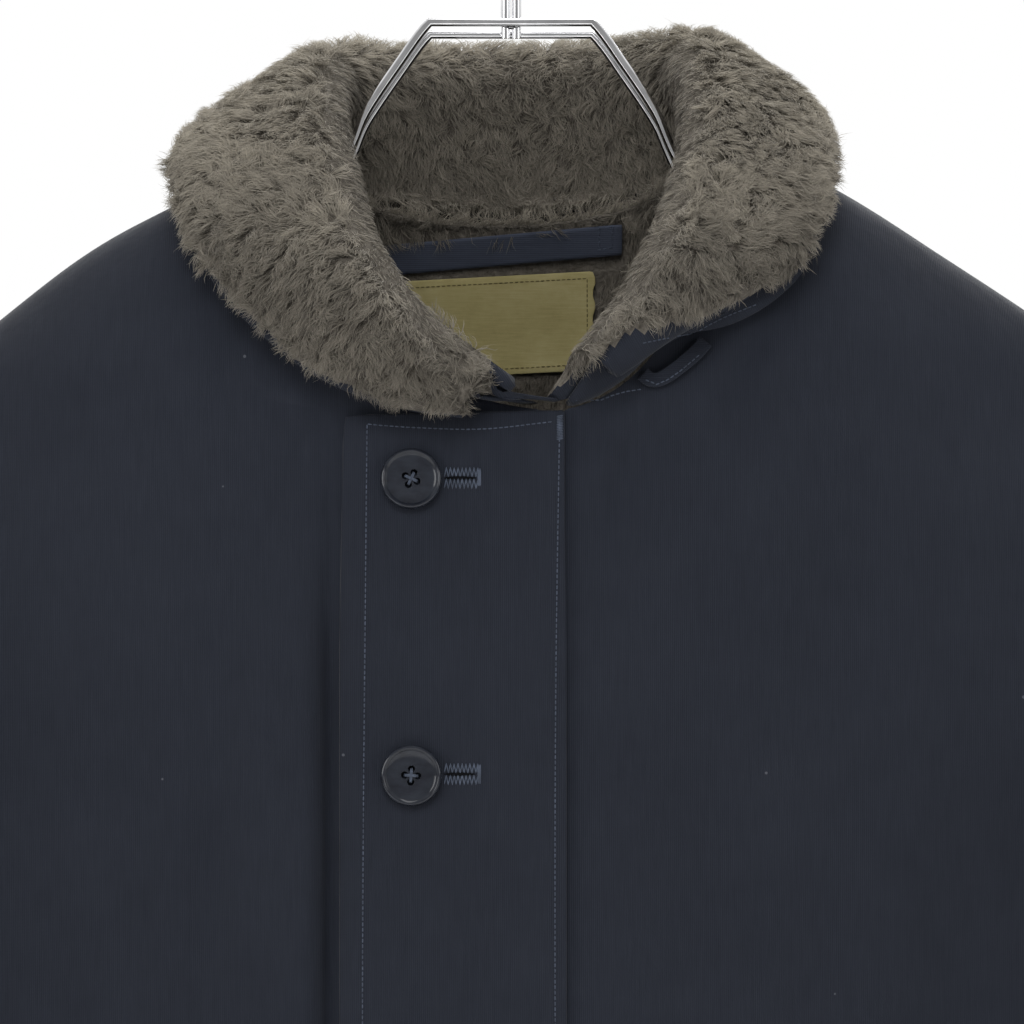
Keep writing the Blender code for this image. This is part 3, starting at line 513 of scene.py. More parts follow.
def crease_section(off):
    """A crease's height across it, with a softer shoulder the other way on each side."""
    return np.exp(-off * off) - SHOULDER_SHARE * np.exp(-((np.abs(off) - SHOULDER_OFF) ** 2))


def crease_relief(creases, x, z):
    """How far the cloth is pushed out at each place; each crease fades at its ends."""
    total = np.zeros(len(x))
    for from_x, from_z, to_x, to_z, width, height in creases:
        way = np.array([to_x - from_x, to_z - from_z])
        length = np.linalg.norm(way)
        way = way / length
        along = ((x - from_x) * way[0] + (z - from_z) * way[1]) / length
        bow = CREASE_BOW * width * np.sin(along * 5.3 + from_x * 90)
        off = ((x - from_x) * way[1] - (z - from_z) * way[0] + bow) / width
        ends = smoothstep(-0.12, 0.22, along) * (1 - smoothstep(0.70, 1.12, along))
        total += height * ends * crease_section(off)
    return total


def outward(points):
    """Level direction away from the body's upright middle, square to its flattened section."""
    depth = np.where(points[:, 1] < 0, FRONT_DEPTH, BACK_DEPTH)
    x = np.clip(np.abs(points[:, 0]) / SIDE_X, 0, 1) ** 1.4 * np.sign(points[:, 0]) / SIDE_X
    y = (np.clip(np.abs(points[:, 1]) / depth, 0.02, 1.2)) ** 1.4 * np.sign(points[:, 1]) / depth
    return unit(np.stack([x, y, 0 * x], axis=-1))


def body_relief(points):
    x, z = points[:, 0], points[:, 2]
    front = crease_relief(FRONT_CREASES, x, z)
    back = BACK_PRESS * crease_relief(BACK_CREASES, x, z)
    lively = 0.0005 * np.sin(21 * x + 9 * z + 1.3) * np.sin(13 * z - 17 * x + 0.4)
    relief = np.where(points[:, 1] < 0, front, back) + lively
    calm = smoothstep(*SIDE_CALM, np.abs(x))
    above = smoothstep(*SHOULDER_CALM, z)
    return relief * (1 - calm) * (1 - above)


def hang_body(piece):
    """Presses the creases into a front, the back or the flap, and lays the cords upright."""
    points = points_of(piece)
    front = points[:, 1] < 0
    over_front = section_length(points[:, 0], FRONT_DEPTH, 2.3)
    over_back = section_length(points[:, 0], BACK_DEPTH, 2.5)
    across = np.where(front, over_front, over_back)
    lay_on(piece, across, points[:, 2])
    move_points(piece, points + body_relief(points)[:, None] * outward(points))


def hang_sleeve(piece, side):
    """Presses short slanting creases into a sleeve and lays the cords down its length."""
    points = points_of(piece)
    z = points[:, 2]
    order = np.round(z / RING_STEP).astype(int)
    rings = np.unique(order)
    corners = [(points[order == r].min(axis=0), points[order == r].max(axis=0)) for r in rings]
    centres = np.array([(low + high) / 2 for low, high in corners])
    away_x = (points[:, 0] - np.interp(z, rings * RING_STEP, centres[:, 0])) * side
    away_y = points[:, 1] - np.interp(z, rings * RING_STEP, centres[:, 1])
    angle = np.arctan2(away_y, away_x)
    total = np.zeros(len(points))
    for middle, at, span, fall, width, height in SLEEVE_CREASES:
        turn = (angle - at + math.pi) % (2 * math.pi) - math.pi
        ends = 1 - smoothstep(0.45, 1.05, np.abs(turn / (span / 2)))
        off = (z - middle - fall * turn / span) / width
        total += height * ends * crease_section(off)
    off_body = smoothstep(-0.95, -0.50, np.cos(angle))
    below_cap = 1 - smoothstep(-0.330, -0.270, z)
    above_cuff = smoothstep(-0.812, -0.780, z)
    total *= SLEEVE_PRESS * (0.10 + 0.90 * off_body) * below_cap * above_cuff
    out = unit(np.stack([away_x * side, away_y, 0 * z], axis=-1))
    lay_on(piece, angle * SLEEVE_RADIUS, z)
    move_points(piece, points + total[:, None] * out)


def smooth_line(points, count):
    """More points along a bent line, evenly spaced, by a cubic through each neighbour pair."""
    points = np.asarray(points, float)
    travel = np.concatenate([[0], np.cumsum(np.linalg.norm(np.diff(points, axis=0), axis=1))])
    at = np.linspace(0, travel[-1], count)
    slopes = np.stack([np.gradient(points[:, k], travel) for k in range(points.shape[1])], axis=-1)
    low = np.clip(np.searchsorted(travel, at, side="right") - 1, 0, len(travel) - 2)
    step = (travel[low + 1] - travel[low])[:, None]
    t = (at - travel[low])[:, None] / step
    return (
        (2 * t**3 - 3 * t**2 + 1) * points[low]
        + (t**3 - 2 * t**2 + t) * step * slopes[low]
        + (3 * t**2 - 2 * t**3) * points[low + 1]
        + (t**3 - t**2) * step * slopes[low + 1]
    )


def wire(name, route, node, material, closed):
    """A round wire swept along its route, as a closed mesh."""
    bpy.ops.curve.primitive_bezier_curve_add()
    made = bpy.context.object
    made.name = made.data.name = name
    curve = made.data
    curve.splines.clear()
    spline = curve.splines.new("POLY")
    spline.points.add(len(route) - 1)
    for place, point in zip(spline.points, route):
        place.co = (*point, 1)
    spline.use_cyclic_u = closed
    curve.dimensions = "3D"
    curve.bevel_depth = WIRE_RADIUS
    curve.bevel_resolution = 4
    curve.use_fill_caps = not closed
    bpy.ops.object.convert(target="MESH")
    made = bpy.context.object
    bpy.ops.object.shade_smooth_by_angle(angle=math.radians(50))
    made.data.materials.clear()
    made.data.materials.append(material)
    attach(made, "root")
    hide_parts(node)
    return made


def hanger_frame(material):
    """Two wires, one behind and a little below the other, joined by a turn at each end."""
    line = np.concatenate([smooth_line(RIGHT_ARM, 70)[::-1], smooth_line(LEFT_ARM, 70)])
    turn = np.linspace(0, math.pi, 10)[1:-1]
    route = [(x, -FRAME_HALF_GAP, z) for x, z in line]
    end_x, end_z = line[-1]
    for a in turn:
        drop = BACK_WIRE_DROP * a / math.pi
        route.append((end_x + FRAME_HALF_GAP * math.sin(a), -FRAME_HALF_GAP * math.cos(a), end_z - drop))
    route += [(x, FRAME_HALF_GAP, z - BACK_WIRE_DROP) for x, z in line[::-1]]
    end_x, end_z = line[0]
    for a in turn:
        drop = BACK_WIRE_DROP * (1 - a / math.pi)
        route.append((end_x - FRAME_HALF_GAP * math.sin(a), FRAME_HALF_GAP * math.cos(a), end_z - drop))
    return wire("hanger_wires", route, "hanger_frame", material, True)


def hanger_hook(material):
    """One wire folded double, with a turn at the hook's tip."""
    line = smooth_line(HOOK_LINE, 110)
    heading = unit(np.gradient(line, axis=0))
    side = np.stack([-heading[:, 1], heading[:, 0]], axis=-1)
    one = line + STEM_HALF * side
    other = line - STEM_HALF * side
    turn = [
        line[0] - heading[0] * STEM_HALF * math.sin(a) + side[0] * STEM_HALF * math.cos(a)
        for a in np.linspace(0, math.pi, 9)[1:-1]
    ]
    route = np.concatenate([one[::-1], turn, other])
    return wire("hook_wires", [(x, 0, z) for x, z in route], "hanger_hook", material, False)


def weld(material):
    """The small bead of metal where the stem meets the frame."""
    place = (0, -0.0006, -0.0962)
    bpy.ops.mesh.primitive_uv_sphere_add(segments=24, ring_count=14, radius=0.0021, location=place)
    made = bpy.context.object
    made.name = made.data.name = "weld"
    made.scale = (1.5, 1.25, 0.8)
    bpy.ops.object.transform_apply(location=True, rotation=True, scale=True)
    bpy.ops.object.shade_smooth()
    made.data.materials.append(material)
    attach(made, "root")
    return made


def pattern_stitch():
    """One stitch, a short thread with rounded ends: its points across, above and along it, and its faces."""
    bpy.ops.mesh.primitive_cylinder_add(vertices=6, radius=1, depth=1.2, end_fill_type="NGON")
    made = bpy.context.object
    bpy.ops.object.mode_set(mode="EDIT")
    bpy.ops.mesh.select_mode(type="FACE")
    bpy.ops.mesh.select_all(action="DESELECT")
    cloth = bmesh.from_edit_mesh(made.data)
    for end in (1, -1):
        bpy.ops.mesh.select_all(action="DESELECT")
        for face in cloth.faces:
            face.select_set(face.normal.z * end > 0.9)
        bpy.ops.mesh.extrude_region_move(TRANSFORM_OT_translate={"value": (0, 0, 0.4 * end)})
        bpy.ops.transform.resize(value=(0.45, 0.45, 1))
    bpy.ops.object.mode_set(mode="OBJECT")
    points = points_of(made)
    faces = [tuple(p.vertices) for p in made.data.polygons]
    bpy.data.objects.remove(made)
    return points, faces


def stitch_mesh(name, places, material, length=STITCH_LENGTH, radius=STITCH_RADIUS):
    """The stitches of one row as one mesh. A place is a middle, a heading and the cloth's normal."""
    shape, faces = STITCH
    all_points, all_faces = [], []
    for middle, heading, normal in places:
        heading = Vector(heading).normalized()
        normal = Vector(normal)
        across = heading.cross(normal).normalized()
        up = across.cross(heading)
        base = len(all_points)
        for x, y, z in shape:
            sink = -0.35 * radius * z * z
            spot = middle + across * (x * radius) + up * (y * radius + sink)
            all_points.append(spot + heading * (z * length * 0.5))
        all_faces += [[base + i for i in face] for face in faces]
    mesh = bpy.data.meshes.new(name)
    mesh.from_pydata(all_points, [], all_faces)
    mesh.materials.append(material)
    piece = added(name, mesh)
    only(piece)
    bpy.ops.object.mode_set(mode="EDIT")
    bpy.ops.mesh.select_all(action="SELECT")
    bpy.ops.mesh.normals_make_consistent(inside=False)
    bpy.ops.object.mode_set(mode="OBJECT")
    bpy.ops.object.shade_smooth()
    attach(piece, "root")
    return piece


def row_places(tree, line, looks, pitch, reach=0.3):
    """Middles, headings and normals of the stitches along a line, laid on the cloth by looking at it."""
    hits = []
    for point, look in zip(line, looks):
        look = Vector(look).normalized()
        spot, normal, _, _ = tree.ray_cast(Vector(point) - look * reach, look)
        if spot is not None:
            hits.append((spot, normal if normal.dot(look) < 0 else -normal))
    spots = np.array([h[0][:] for h in hits])
    normals = np.array([h[1][:] for h in hits])
    travel = np.concatenate([[0], np.cumsum(np.linalg.norm(np.diff(spots, axis=0), axis=1))])
    places = []
    for at in np.arange(pitch / 2, travel[-1], pitch):
        middle, ahead, normal = (
            Vector([np.interp(at + step, travel, values[:, k]) for k in range(3)])
            for step, values in ((0, spots), (pitch / 2, spots), (0, normals))
        )
        if (ahead - middle).length > 1e-6:
            places.append((middle + normal.normalized() * (STITCH_RADIUS * 0.35), ahead - middle, normal))
    return places


def flat_row(tree, points, way=1, pitch=STITCH_PITCH, fine=0.004):
    """Stitches along x, z points, seen along +Y (way 1) or -Y (way -1)."""
    length = sum(math.dist(a, b) for a, b in zip(points, points[1:]))
    line = smooth_line([(x, 0, z) for x, z in points], max(6, int(length / fine)))
    return row_places(tree, line, [(0, way, 0)] * len(line), pitch)


def ring_row(tree, centre, pitch):
    """Stitches round a tube of cloth at one height, seen from outside."""
    angles = np.linspace(0, 2 * math.pi, 120)
    out = np.stack([np.cos(angles), np.sin(angles), 0 * angles], axis=-1)
    return row_places(tree, [centre] * len(angles), -out, pitch, reach=0.09)


def close_places(tree, spots, headings):
    """Stitches lying side by side: each at an x, z spot of the front, with its own heading."""
    places = []
    for (x, z), heading in zip(spots, headings):
        spot, normal, _, _ = tree.ray_cast(Vector((x, -0.3, z)), Vector((0, 1, 0)))
        if spot is not None:
            places.append((spot + normal * 0.00016, Vector(heading), normal))
    return places


def buttonhole(name, tree, x, z, sewing, dark):
    """A worked buttonhole: two rows of close stitches, a bar at the outer end, and the dark slit between,
    which is painted shade for the cut's opening.
    """
    spots, headings = [], []
    for k, step in enumerate(np.arange(-HOLE_HALF, HOLE_HALF, 0.00072)):
        for side in (1, -1):
            near = 0.0021 + 0.0002 * math.sin(k * 2.1 + side)
            spots.append((x + step, z + side * near))
            headings.append((0.22 * (-1) ** k, 0, 1))
    stitch_mesh(name + "_edges", close_places(tree, spots, headings), sewing, 0.0036, 0.00026)
    bar = [(x + HOLE_HALF + 0.0004 * k, z) for k in range(3)]
    stitch_mesh(name + "_bar", close_places(tree, bar, [(0, 0, 1)] * 3), sewing, 0.0070, 0.00030)
    spot = tree.ray_cast(Vector((x - 0.0006, -0.3, z)), Vector((0, 1, 0)))[0]
    bpy.ops.mesh.primitive_uv_sphere_add(segments=20, ring_count=10, radius=1, location=spot)
    slit = bpy.context.object
    slit.name = slit.data.name = name + "_slit"
    slit.scale = (HOLE_HALF, 0.00035, 0.00065)
    bpy.ops.object.transform_apply(location=True, rotation=True, scale=True)
    bpy.ops.object.shade_smooth()
    slit.data.materials.append(dark)
    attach(slit, "root")


def button_shape(material):
    """A dished button with a raised round rim and four holes, modelled lying at the origin."""
    bpy.ops.mesh.primitive_cylinder_add(
        vertices=64, radius=BUTTON_RADIUS, depth=BUTTON_THICK * 0.6, location=(0, 0, BUTTON_THICK * 0.3)
    )
    made = bpy.context.object
    made.name = made.data.name = "button"
    bpy.ops.object.transform_apply(location=True, rotation=True, scale=True)
    bpy.ops.object.mode_set(mode="EDIT")
    bpy.ops.mesh.select_mode(type="FACE")
    form = bmesh.from_edit_mesh(made.data)
    for face in form.faces:
        face.select_set(face.normal.z > 0.9)
    for share, rise in BUTTON_STEPS:
        bpy.ops.mesh.extrude_region_move(TRANSFORM_OT_translate={"value": (0, 0, rise * BUTTON_THICK)})
        bpy.ops.transform.resize(value=(share, share, 1), center_override=(0, 0, 0))
    for face in form.faces:
        face.select_set(face.normal.z < -0.9)
    bpy.ops.mesh.extrude_region_move(TRANSFORM_OT_translate={"value": (0, 0, 0.0)})
    bpy.ops.transform.resize(value=(0.9, 0.9, 1), center_override=(0, 0, 0))
    bpy.ops.object.mode_set(mode="OBJECT")
    for k in range(4):
        angle = math.pi / 4 + k * math.pi / 2
        place = (HOLE_OUT * math.cos(angle), HOLE_OUT * math.sin(angle), 0)
        bpy.ops.mesh.primitive_cylinder_add(
            vertices=20, radius=HOLE_RADIUS, depth=4 * BUTTON_THICK, location=place
        )
        drill = bpy.context.object
        only(made)
        cut = made.modifiers.new("hole", "BOOLEAN")
        cut.object = drill
        cut.solver = "EXACT"
        bpy.ops.object.modifier_apply(modifier="hole")
        bpy.data.objects.remove(drill)
    only(made)
    round_off = made.modifiers.new("round", "BEVEL")
    round_off.width = 0.00016
    round_off.segments = 3
    round_off.angle_limit = math.radians(28)
    bpy.ops.object.modifier_apply(modifier="round")
    bpy.ops.object.shade_smooth_by_angle(angle=math.radians(40))
    made.data.materials.append(material)
    return made


def set_down(piece, place, facing, turn):
    """Moves a shape that was modelled at the origin to its place, in its mesh."""
    turned = Vector(facing).to_track_quat("Z", "Y").to_matrix().to_4x4()
    piece.data.transform(Matrix.Translation(place) @ turned @ Matrix.Rotation(turn, 4, "Z"))
    piece.data.update()


def sew_on(name, place, facing, turn, material):
    """Thread crossed through a button's four holes."""
    places = []
    for angle in (math.pi / 4, 3 * math.pi / 4):
        for step in (-0.00033, 0, 0.00033):
            heading = Vector((math.cos(angle), math.sin(angle), 0))
            aside = Vector((-heading.y, heading.x, 0)) * step
            rise = Vector((0, 0, BUTTON_THICK * (0.60 if angle < 1 else 0.72)))
            places.append((aside + rise, heading, Vector((0, 0, 1))))
    piece = stitch_mesh(name, places, material, 2.2 * HOLE_OUT, 0.00022)
    set_down(piece, place, facing, turn)
    return piece


def buttons(plastic, sewing):
    pattern = button_shape(plastic)
    for k, spec in enumerate(BUTTONS):
        piece = added(f"sewn_button_{k + 1}", pattern.data.copy())
        turn = BUTTON_TURN + BUTTON_TURN_STEP * k
        place = Vector(spec["place"])
        facing = Vector(spec["facing"])
        relief = body_relief(np.array([spec["place"]]))[0]
        place = place + Vector((0, -relief, 0))
        set_down(piece, place, facing, turn)
        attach(piece, "root")
        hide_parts(f"button_{k + 1}")
        sew_on(f"button_thread_{k + 1}", place, facing, turn, sewing)
    bpy.data.objects.remove(pattern)


def covered(points, normals, tree, reach):
    """Which points have other cloth close above them."""
    found = []
    for point, normal in zip(points, normals):
        look = Vector(normal)
        found.append(tree.ray_cast(Vector(point) + look * 0.0004, look, reach)[0] is not None)
    return np.array(found)


def pile_bed(name, node, levels, material, neighbours):
    """The pile's backing: a finer copy of the solid, sunk under the hairs wherever it lies open."""
    piece = shell(name, node, levels, material)
    points = points_of(piece)
    normals = normals_of(piece)
    own = tree_of(piece)
    thick = []
    for p, n in zip(points, normals):
        spot = own.ray_cast(Vector(p) - Vector(n) * 0.0002, -Vector(n), 0.05)[0]
        thick.append(0.012 if spot is None else (spot - Vector(p)).length)
    shut = covered(points, normals, neighbours, 0.004)
    inward = -normals[:, 0] * np.sign(points[:, 0]) * (np.abs(points[:, 0]) < 0.085) * (points[:, 1] < 0.03)
    depth = PILE_SINK + INNER_SINK * smoothstep(0.0, 0.5, inward)
    sink = np.minimum(depth, 0.42 * np.array(thick)) * (1 - shut)
    for _ in range(4):
        total, count = np.zeros(len(points)), np.zeros(len(points))
        ends = np.array([e.vertices[:] for e in piece.data.edges])
        for a, b in ((0, 1), (1, 0)):
            np.add.at(total, ends[:, a], sink[ends[:, b]])
            np.add.at(count, ends[:, a], 1)
        sink = 0.5 * sink + 0.5 * total / count
    move_points(piece, points - normals * sink[:, None])
    layer = piece.data.attributes.new("open", "FLOAT", "POINT")
    layer.data.foreach_set("value", 1.0 - shut)
    return piece


def over_edge(middle):
    """How far each place lies above the lower edge of the collar's pile."""
    xs, zs = zip(*PILE_EDGE)
    return middle[:, 2] - np.interp(middle[:, 0], xs, zs)


def turned_cloth(bed, material):
    """Gives the bed's band below the pile's edge the turned cloth of the collar's rim."""
    bed.data.materials.append(material)
    points = points_of(bed)
    lay_on(bed, points[:, 0] * 0.8 + points[:, 2] * 0.5, points[:, 2] * 0.8 - points[:, 0] * 0.5)
    middles = np.array([p.center[:] for p in bed.data.polygons])
    below = (over_edge(middles) < 0.0004) & (middles[:, 1] < 0.0)
    bed.data.polygons.foreach_set("material_index", below.astype(np.int32))


def swirl(points, seed):
    """A slow pseudo-random direction field, for the lie of the pile."""
    rng = np.random.default_rng(seed)
    field = np.zeros_like(points)
    for size, weight in ((90, 1.0), (210, 0.8), (430, 0.5)):
        for _ in range(3):
            wave = rng.normal(size=3) * size
            field += weight * rng.normal(size=3) * np.sin(points @ wave + rng.uniform(0, 6.28))[:, None]
    return unit(field)


def root_spots(bed, chosen, count, rng):
    """Places spread evenly over the chosen open faces, with the surface's normals."""
    mesh = bed.data
    mesh.calc_loop_triangles()
    corners = np.empty(3 * len(mesh.loop_triangles), dtype=np.int32)
    mesh.loop_triangles.foreach_get("vertices", corners)
    corners = corners.reshape(-1, 3)
    points, normals = points_of(bed), normals_of(bed)
    open_share = np.empty(len(points))
    mesh.attributes["open"].data.foreach_get("value", open_share)
    middle = points[corners].mean(axis=1)
    a, b, c = (points[corners[:, k]] for k in range(3))
    area = 0.5 * np.linalg.norm(np.cross(b - a, c - a), axis=1)
    weight = area * (open_share[corners].min(axis=1) > 0.5) * chosen(middle, normals[corners].mean(axis=1))
    picked = rng.choice(len(area), size=count, p=weight / weight.sum())
    u, v = rng.random(count), rng.random(count)
    over = u + v > 1
    u[over], v[over] = 1 - u[over], 1 - v[over]
    w = 1 - u - v
    spots = sum(points[corners[picked, k]] * s[:, None] for k, s in enumerate((w, u, v)))
    lifts = unit(sum(normals[corners[picked, k]] * s[:, None] for k, s in enumerate((w, u, v))))
    return spots, lifts, weight.sum()


def pile(name, bed, chosen, count, seed, droop=0.45, length=PILE_LENGTH, rise=0.60, painted_lightness=0.0, lean=0.0):
    """Wool hairs as tapering ribbons, drawn together into soft wavy locks.

    They hang down by droop and to one side by lean, and stand up by rise. Their brightness setting paints
    light and shade on each patch of pile: above 0 paler, below 0 darker. Hairs on patches that face up or
    outwards are also painted paler as lit rims.
    """
    rng = np.random.default_rng(seed)
    roots, lifts, area = root_spots(bed, chosen, count, rng)
    locks = max(20, int(1.25 * area / CLUMP_SIZE**2))
    lock_roots, lock_lifts, _ = root_spots(bed, chosen, locks, rng)
    finder = kdtree.KDTree(locks)
    for i, p in enumerate(lock_roots):
        finder.insert(p, i)
    finder.balance()
    found = [finder.find(Vector(p)) for p in roots]
    lock = np.array([f[1] for f in found])
    apart = np.array([f[2] for f in found])

    def comb(points, up, loose):
        way = np.array([lean, 0.0, -droop]) + 0.62 * swirl(points, 7) + loose
        return unit(way - (way * up).sum(axis=1, keepdims=True) * up)

    lock_way = comb(lock_roots, lock_lifts, 0.48 * rng.normal(size=(locks, 3)))
    lock_long = length * rng.uniform(0.85, 1.12, locks)
    lock_rise = rise * rng.uniform(0.85, 1.10, locks)
    lock_tone = rng.uniform(-0.08, 0.08, locks)
    lock_curl = rng.choice([-1.0, 1.0], locks) * rng.uniform(0.6, 1.3, locks)
    own_way = comb(roots, lifts, 0.60 * rng.normal(size=(count, 3)))
    way = unit(0.60 * lock_way[lock] + 0.40 * own_way)
    long = lock_long[lock] * rng.uniform(0.78, 1.06, count)
    up = lock_rise[lock] * rng.uniform(0.82, 1.10, count)
    side = np.cross(lifts, way)
    stray = rng.random(count) < 0.08
    pull = np.where(stray, 0.0, rng.uniform(0.12, 0.55, count))
    tip_of_lock = lock_roots + (lock_lifts * lock_rise[:, None] + 0.85 * lock_way) * lock_long[:, None]
    curl = (0.17 * lock_curl[lock] + 0.09 * rng.normal(size=count)) * long
    phase = rng.normal(size=count) * 0.45 + 0.4 * lock_curl[lock]
    line = []
    for s in (0.0, 0.34, 0.68, 1.0):
        base = roots + lifts * (up * long * (1 - (1 - s) ** 1.7))[:, None]
        base = base + way * (0.85 * long * s**1.2)[:, None]
        toward = tip_of_lock[lock] - base
        base = base + toward * (pull * 0.55 * s**1.4)[:, None]
        line.append(base + side * (curl * np.sin(5.2 * s + phase) * s**0.8)[:, None])
    line = np.array(line)
    heading = unit(np.gradient(line, axis=0))
    flat = unit(np.cross(heading, lifts[None]))
    spin = rng.uniform(-0.9, 0.9, count)
    face = np.cross(flat, heading)
    across = flat * np.cos(spin)[None, :, None] + face * np.sin(spin)[None, :, None]
    width = STRAND_WIDTH * rng.uniform(0.65, 1.35, count)
    taper = np.array([0.95, 1.0, 0.72])
    half = 0.5 * width
    rails = [line[k] + end * across[k] * (half * taper[k])[:, None] for k in range(3) for end in (-1, 1)]
    points = np.stack(rails + [line[3]], axis=1)
    start = 7 * np.arange(count)[:, None]
    quads = np.concatenate([start + np.array([0, 1, 3, 2]), start + np.array([2, 3, 5, 4])])
    tips = start + np.array([4, 5, 6])
    mesh = bpy.data.meshes.new(name)
    mesh.from_pydata(points.reshape(-1, 3), [], quads.tolist() + tips.tolist())
    # Painted light: hairs on patches that face up, and on the falls' outward sides, are painted paler, as
    # rims lit from behind.
    rim = 0.34 * smoothstep(0.15, 0.80, lifts[:, 2])
    rim = rim + 0.20 * smoothstep(0.55, 0.95, np.abs(lifts[:, 0])) * (lean != 0)
    # Each hair's tone: the patch's painted light or painted shade, plus random differences between locks and
    # between hairs.
    own = 0.44 + painted_lightness + lock_tone[lock] + 0.06 * rng.normal(size=count)
    # Painted shade: hairs far from their lock's middle are darker, as in the shadowed gaps between locks.
    # Stray hairs are set paler.
    own = own - 0.05 * (apart / CLUMP_SIZE) + 0.12 * stray
    tone = (own + rim)[:, None] + np.array(TONE_STEPS)
    layer = mesh.attributes.new("tone", "FLOAT", "POINT")
    layer.data.foreach_set("value", np.clip(tone, 0, 1).ravel())
    mesh.materials.append(WOOL)
    mesh.polygons.foreach_set("use_smooth", np.ones(len(mesh.polygons), dtype=bool))
    piece = added(name, mesh)
    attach(piece, "root")
    return piece


def studio():
    """A pale floor, a white surround that is dimmer in front, and soft lamps."""
    bpy.ops.mesh.primitive_plane_add(size=5.0, location=(0, 0.4, -1.05))
    floor = bpy.context.object
    floor.name = "floor"
    bpy.ops.object.transform_apply(location=True, rotation=True, scale=True)
    floor.data.materials.append(pale_floor())
    world = bpy.data.worlds.new("white surround")
    bpy.context.scene.world = world
    world.use_nodes = True
    tree = world.node_tree
    tree.nodes.clear()
    kinds = ("TexCoord", "SeparateXYZ", "MapRange", "Background", "OutputWorld")
    where, apart, ramp, glow, out = (tree.nodes.new("ShaderNode" + kind) for kind in kinds)
    tree.links.new(where.outputs["Generated"], apart.inputs[0])
    ramp.interpolation_type = "SMOOTHSTEP"
    for socket, value in ((1, -0.55), (2, 0.35), (3, 0.36), (4, 1.0)):
        ramp.inputs[socket].default_value = value
    tree.links.new(apart.outputs["Y"], ramp.inputs[0])
    glow.inputs["Color"].default_value = (1, 1, 1, 1)
    tree.links.new(ramp.outputs[0], glow.inputs["Strength"])
    tree.links.new(glow.outputs[0], out.inputs[0])
    lamps = [
        {"name": "front", "place": (-0.25, -2.5, 1.15), "size": 1.2, "power": 46, "mirrored": False},
        {"name": "left box", "place": (-1.7, -1.5, 0.1), "size": 1.0, "power": 14},
        {"name": "right box", "place": (1.8, -1.4, 0.1), "size": 1.0, "power": 10},
        {"name": "top", "place": (0.1, -0.1, 1.6), "size": 1.3, "power": 19},
        {"name": "rim", "place": (0.2, 1.7, 0.9), "size": 1.2, "power": 32},
    ]
    for spec in lamps:
        bpy.ops.object.light_add(type="AREA", location=spec["place"])
        lamp = bpy.context.object
        lamp.name = spec["name"]
        lamp.data.size = spec["size"]
        lamp.data.energy = spec["power"]
        lamp.visible_glossy = spec.get("mirrored", True)
        aim = Vector((0, 0, -0.25)) - Vector(spec["place"])
        lamp.rotation_euler = aim.to_track_quat("-Z", "Y").to_euler()
    bpy.context.scene.view_settings.view_transform = "Standard"


def camera():
    bpy.ops.object.camera_add(location=EYE, rotation=(math.pi / 2, 0, 0))
    eye = bpy.context.object
    eye.data.sensor_width = 36
    eye.data.lens = LENS
    bpy.context.scene.camera = eye


camera()
studio()
NAVY = navy_cloth()
UNDER_NAVY = navy_cloth("under-collar navy cotton", 1.06)
SLATE = thread("slate sewing thread", (0.050, 0.061, 0.086))
STITCH = pattern_stitch()

front_right = shell("front_right_cloth", "front_right", 2, NAVY)
front_left = shell("front_left_cloth", "front_left", 2, NAVY)
back = shell("back_cloth", "back", 2, NAVY)
flap = shell("storm_flap_cloth", "storm_flap", 2, NAVY)
for cloth in (front_right, front_left, back, flap):
    hang_body(cloth)

sleeves = []
for side, word in ((1, "left"), (-1, "right")):
    sleeve = shell(f"sleeve_{word}_cloth", f"sleeve_{word}", 2, NAVY)
    hang_sleeve(sleeve, side)
    sleeves.append(sleeve)

under_collar = shell("under_collar_cloth", "under_collar", 1, UNDER_NAVY)
points = points_of(under_collar)
lay_on(under_collar, points[:, 0] * 0.8 + points[:, 2] * 0.5, points[:, 2] * 0.8 - points[:, 0] * 0.5)

# The loop hangs in shade, so its navy cotton is painted about three times paler to make up for it.
loop = shell("hanging_loop_cloth", "hanging_loop", 2, navy_cloth("loop navy cotton painted paler for its shade", 3.1))
points = points_of(loop)
lay_on(loop, points[:, 2], points[:, 0])

latch = shell("throat_latch_cloth", "throat_latch", 3, UNDER_NAVY)
points = points_of(latch)
lay_on(latch, points[:, 2], points[:, 0])
move_points(latch, points + body_relief(points)[:, None] * outward(points))

label = shell("label_cloth", "label", 3, woven_label())
points = points_of(label)
points[:, 0] += 0.0006 * np.sin(points[:, 2] * 650) * smoothstep(0.020, 0.031, points[:, 0])
move_points(label, points)
lay_on(label, points[:, 0], points[:, 2])

neighbours = tree_of(front_right, front_left, back, under_collar, loop, label)
BACKING = pile_backing("matted pile backing", (0.062, 0.055, 0.046), (0.150, 0.136, 0.116))
collar_bed = pile_bed("collar_bed", "collar_pile", 2, BACKING, neighbours)
turned_cloth(collar_bed, UNDER_NAVY)
lining_bed = pile_bed("lining_bed", "neck_lining", 1, BACKING, neighbours)

WOOL = wool_pile("grey-tan wool pile", (0.045, 0.039, 0.032), (0.168, 0.152, 0.127), (0.400, 0.366, 0.302))


def inner(middle, facing):
    """Faces of the falls that look into the neck."""
    toward = facing[:, 0] * np.sign(middle[:, 0])
    return (toward < -0.40) & (np.abs(middle[:, 0]) < 0.075) & (middle[:, 1] < 0.02)


def fall(side):
    def chosen(middle, facing):
        front = (side * (middle[:, 0] - 0.005) > 0) & (middle[:, 1] < 0.02) & (facing[:, 1] < 0.35)
        return 1.0 * (front & ~inner(middle, facing) & (over_edge(middle) > PILE_EDGE_ROOM))
    return chosen


def neck(middle, facing):
    return 1.0 * (inner(middle, facing) & (facing[:, 1] < 0.35) & (over_edge(middle) > PILE_EDGE_ROOM))


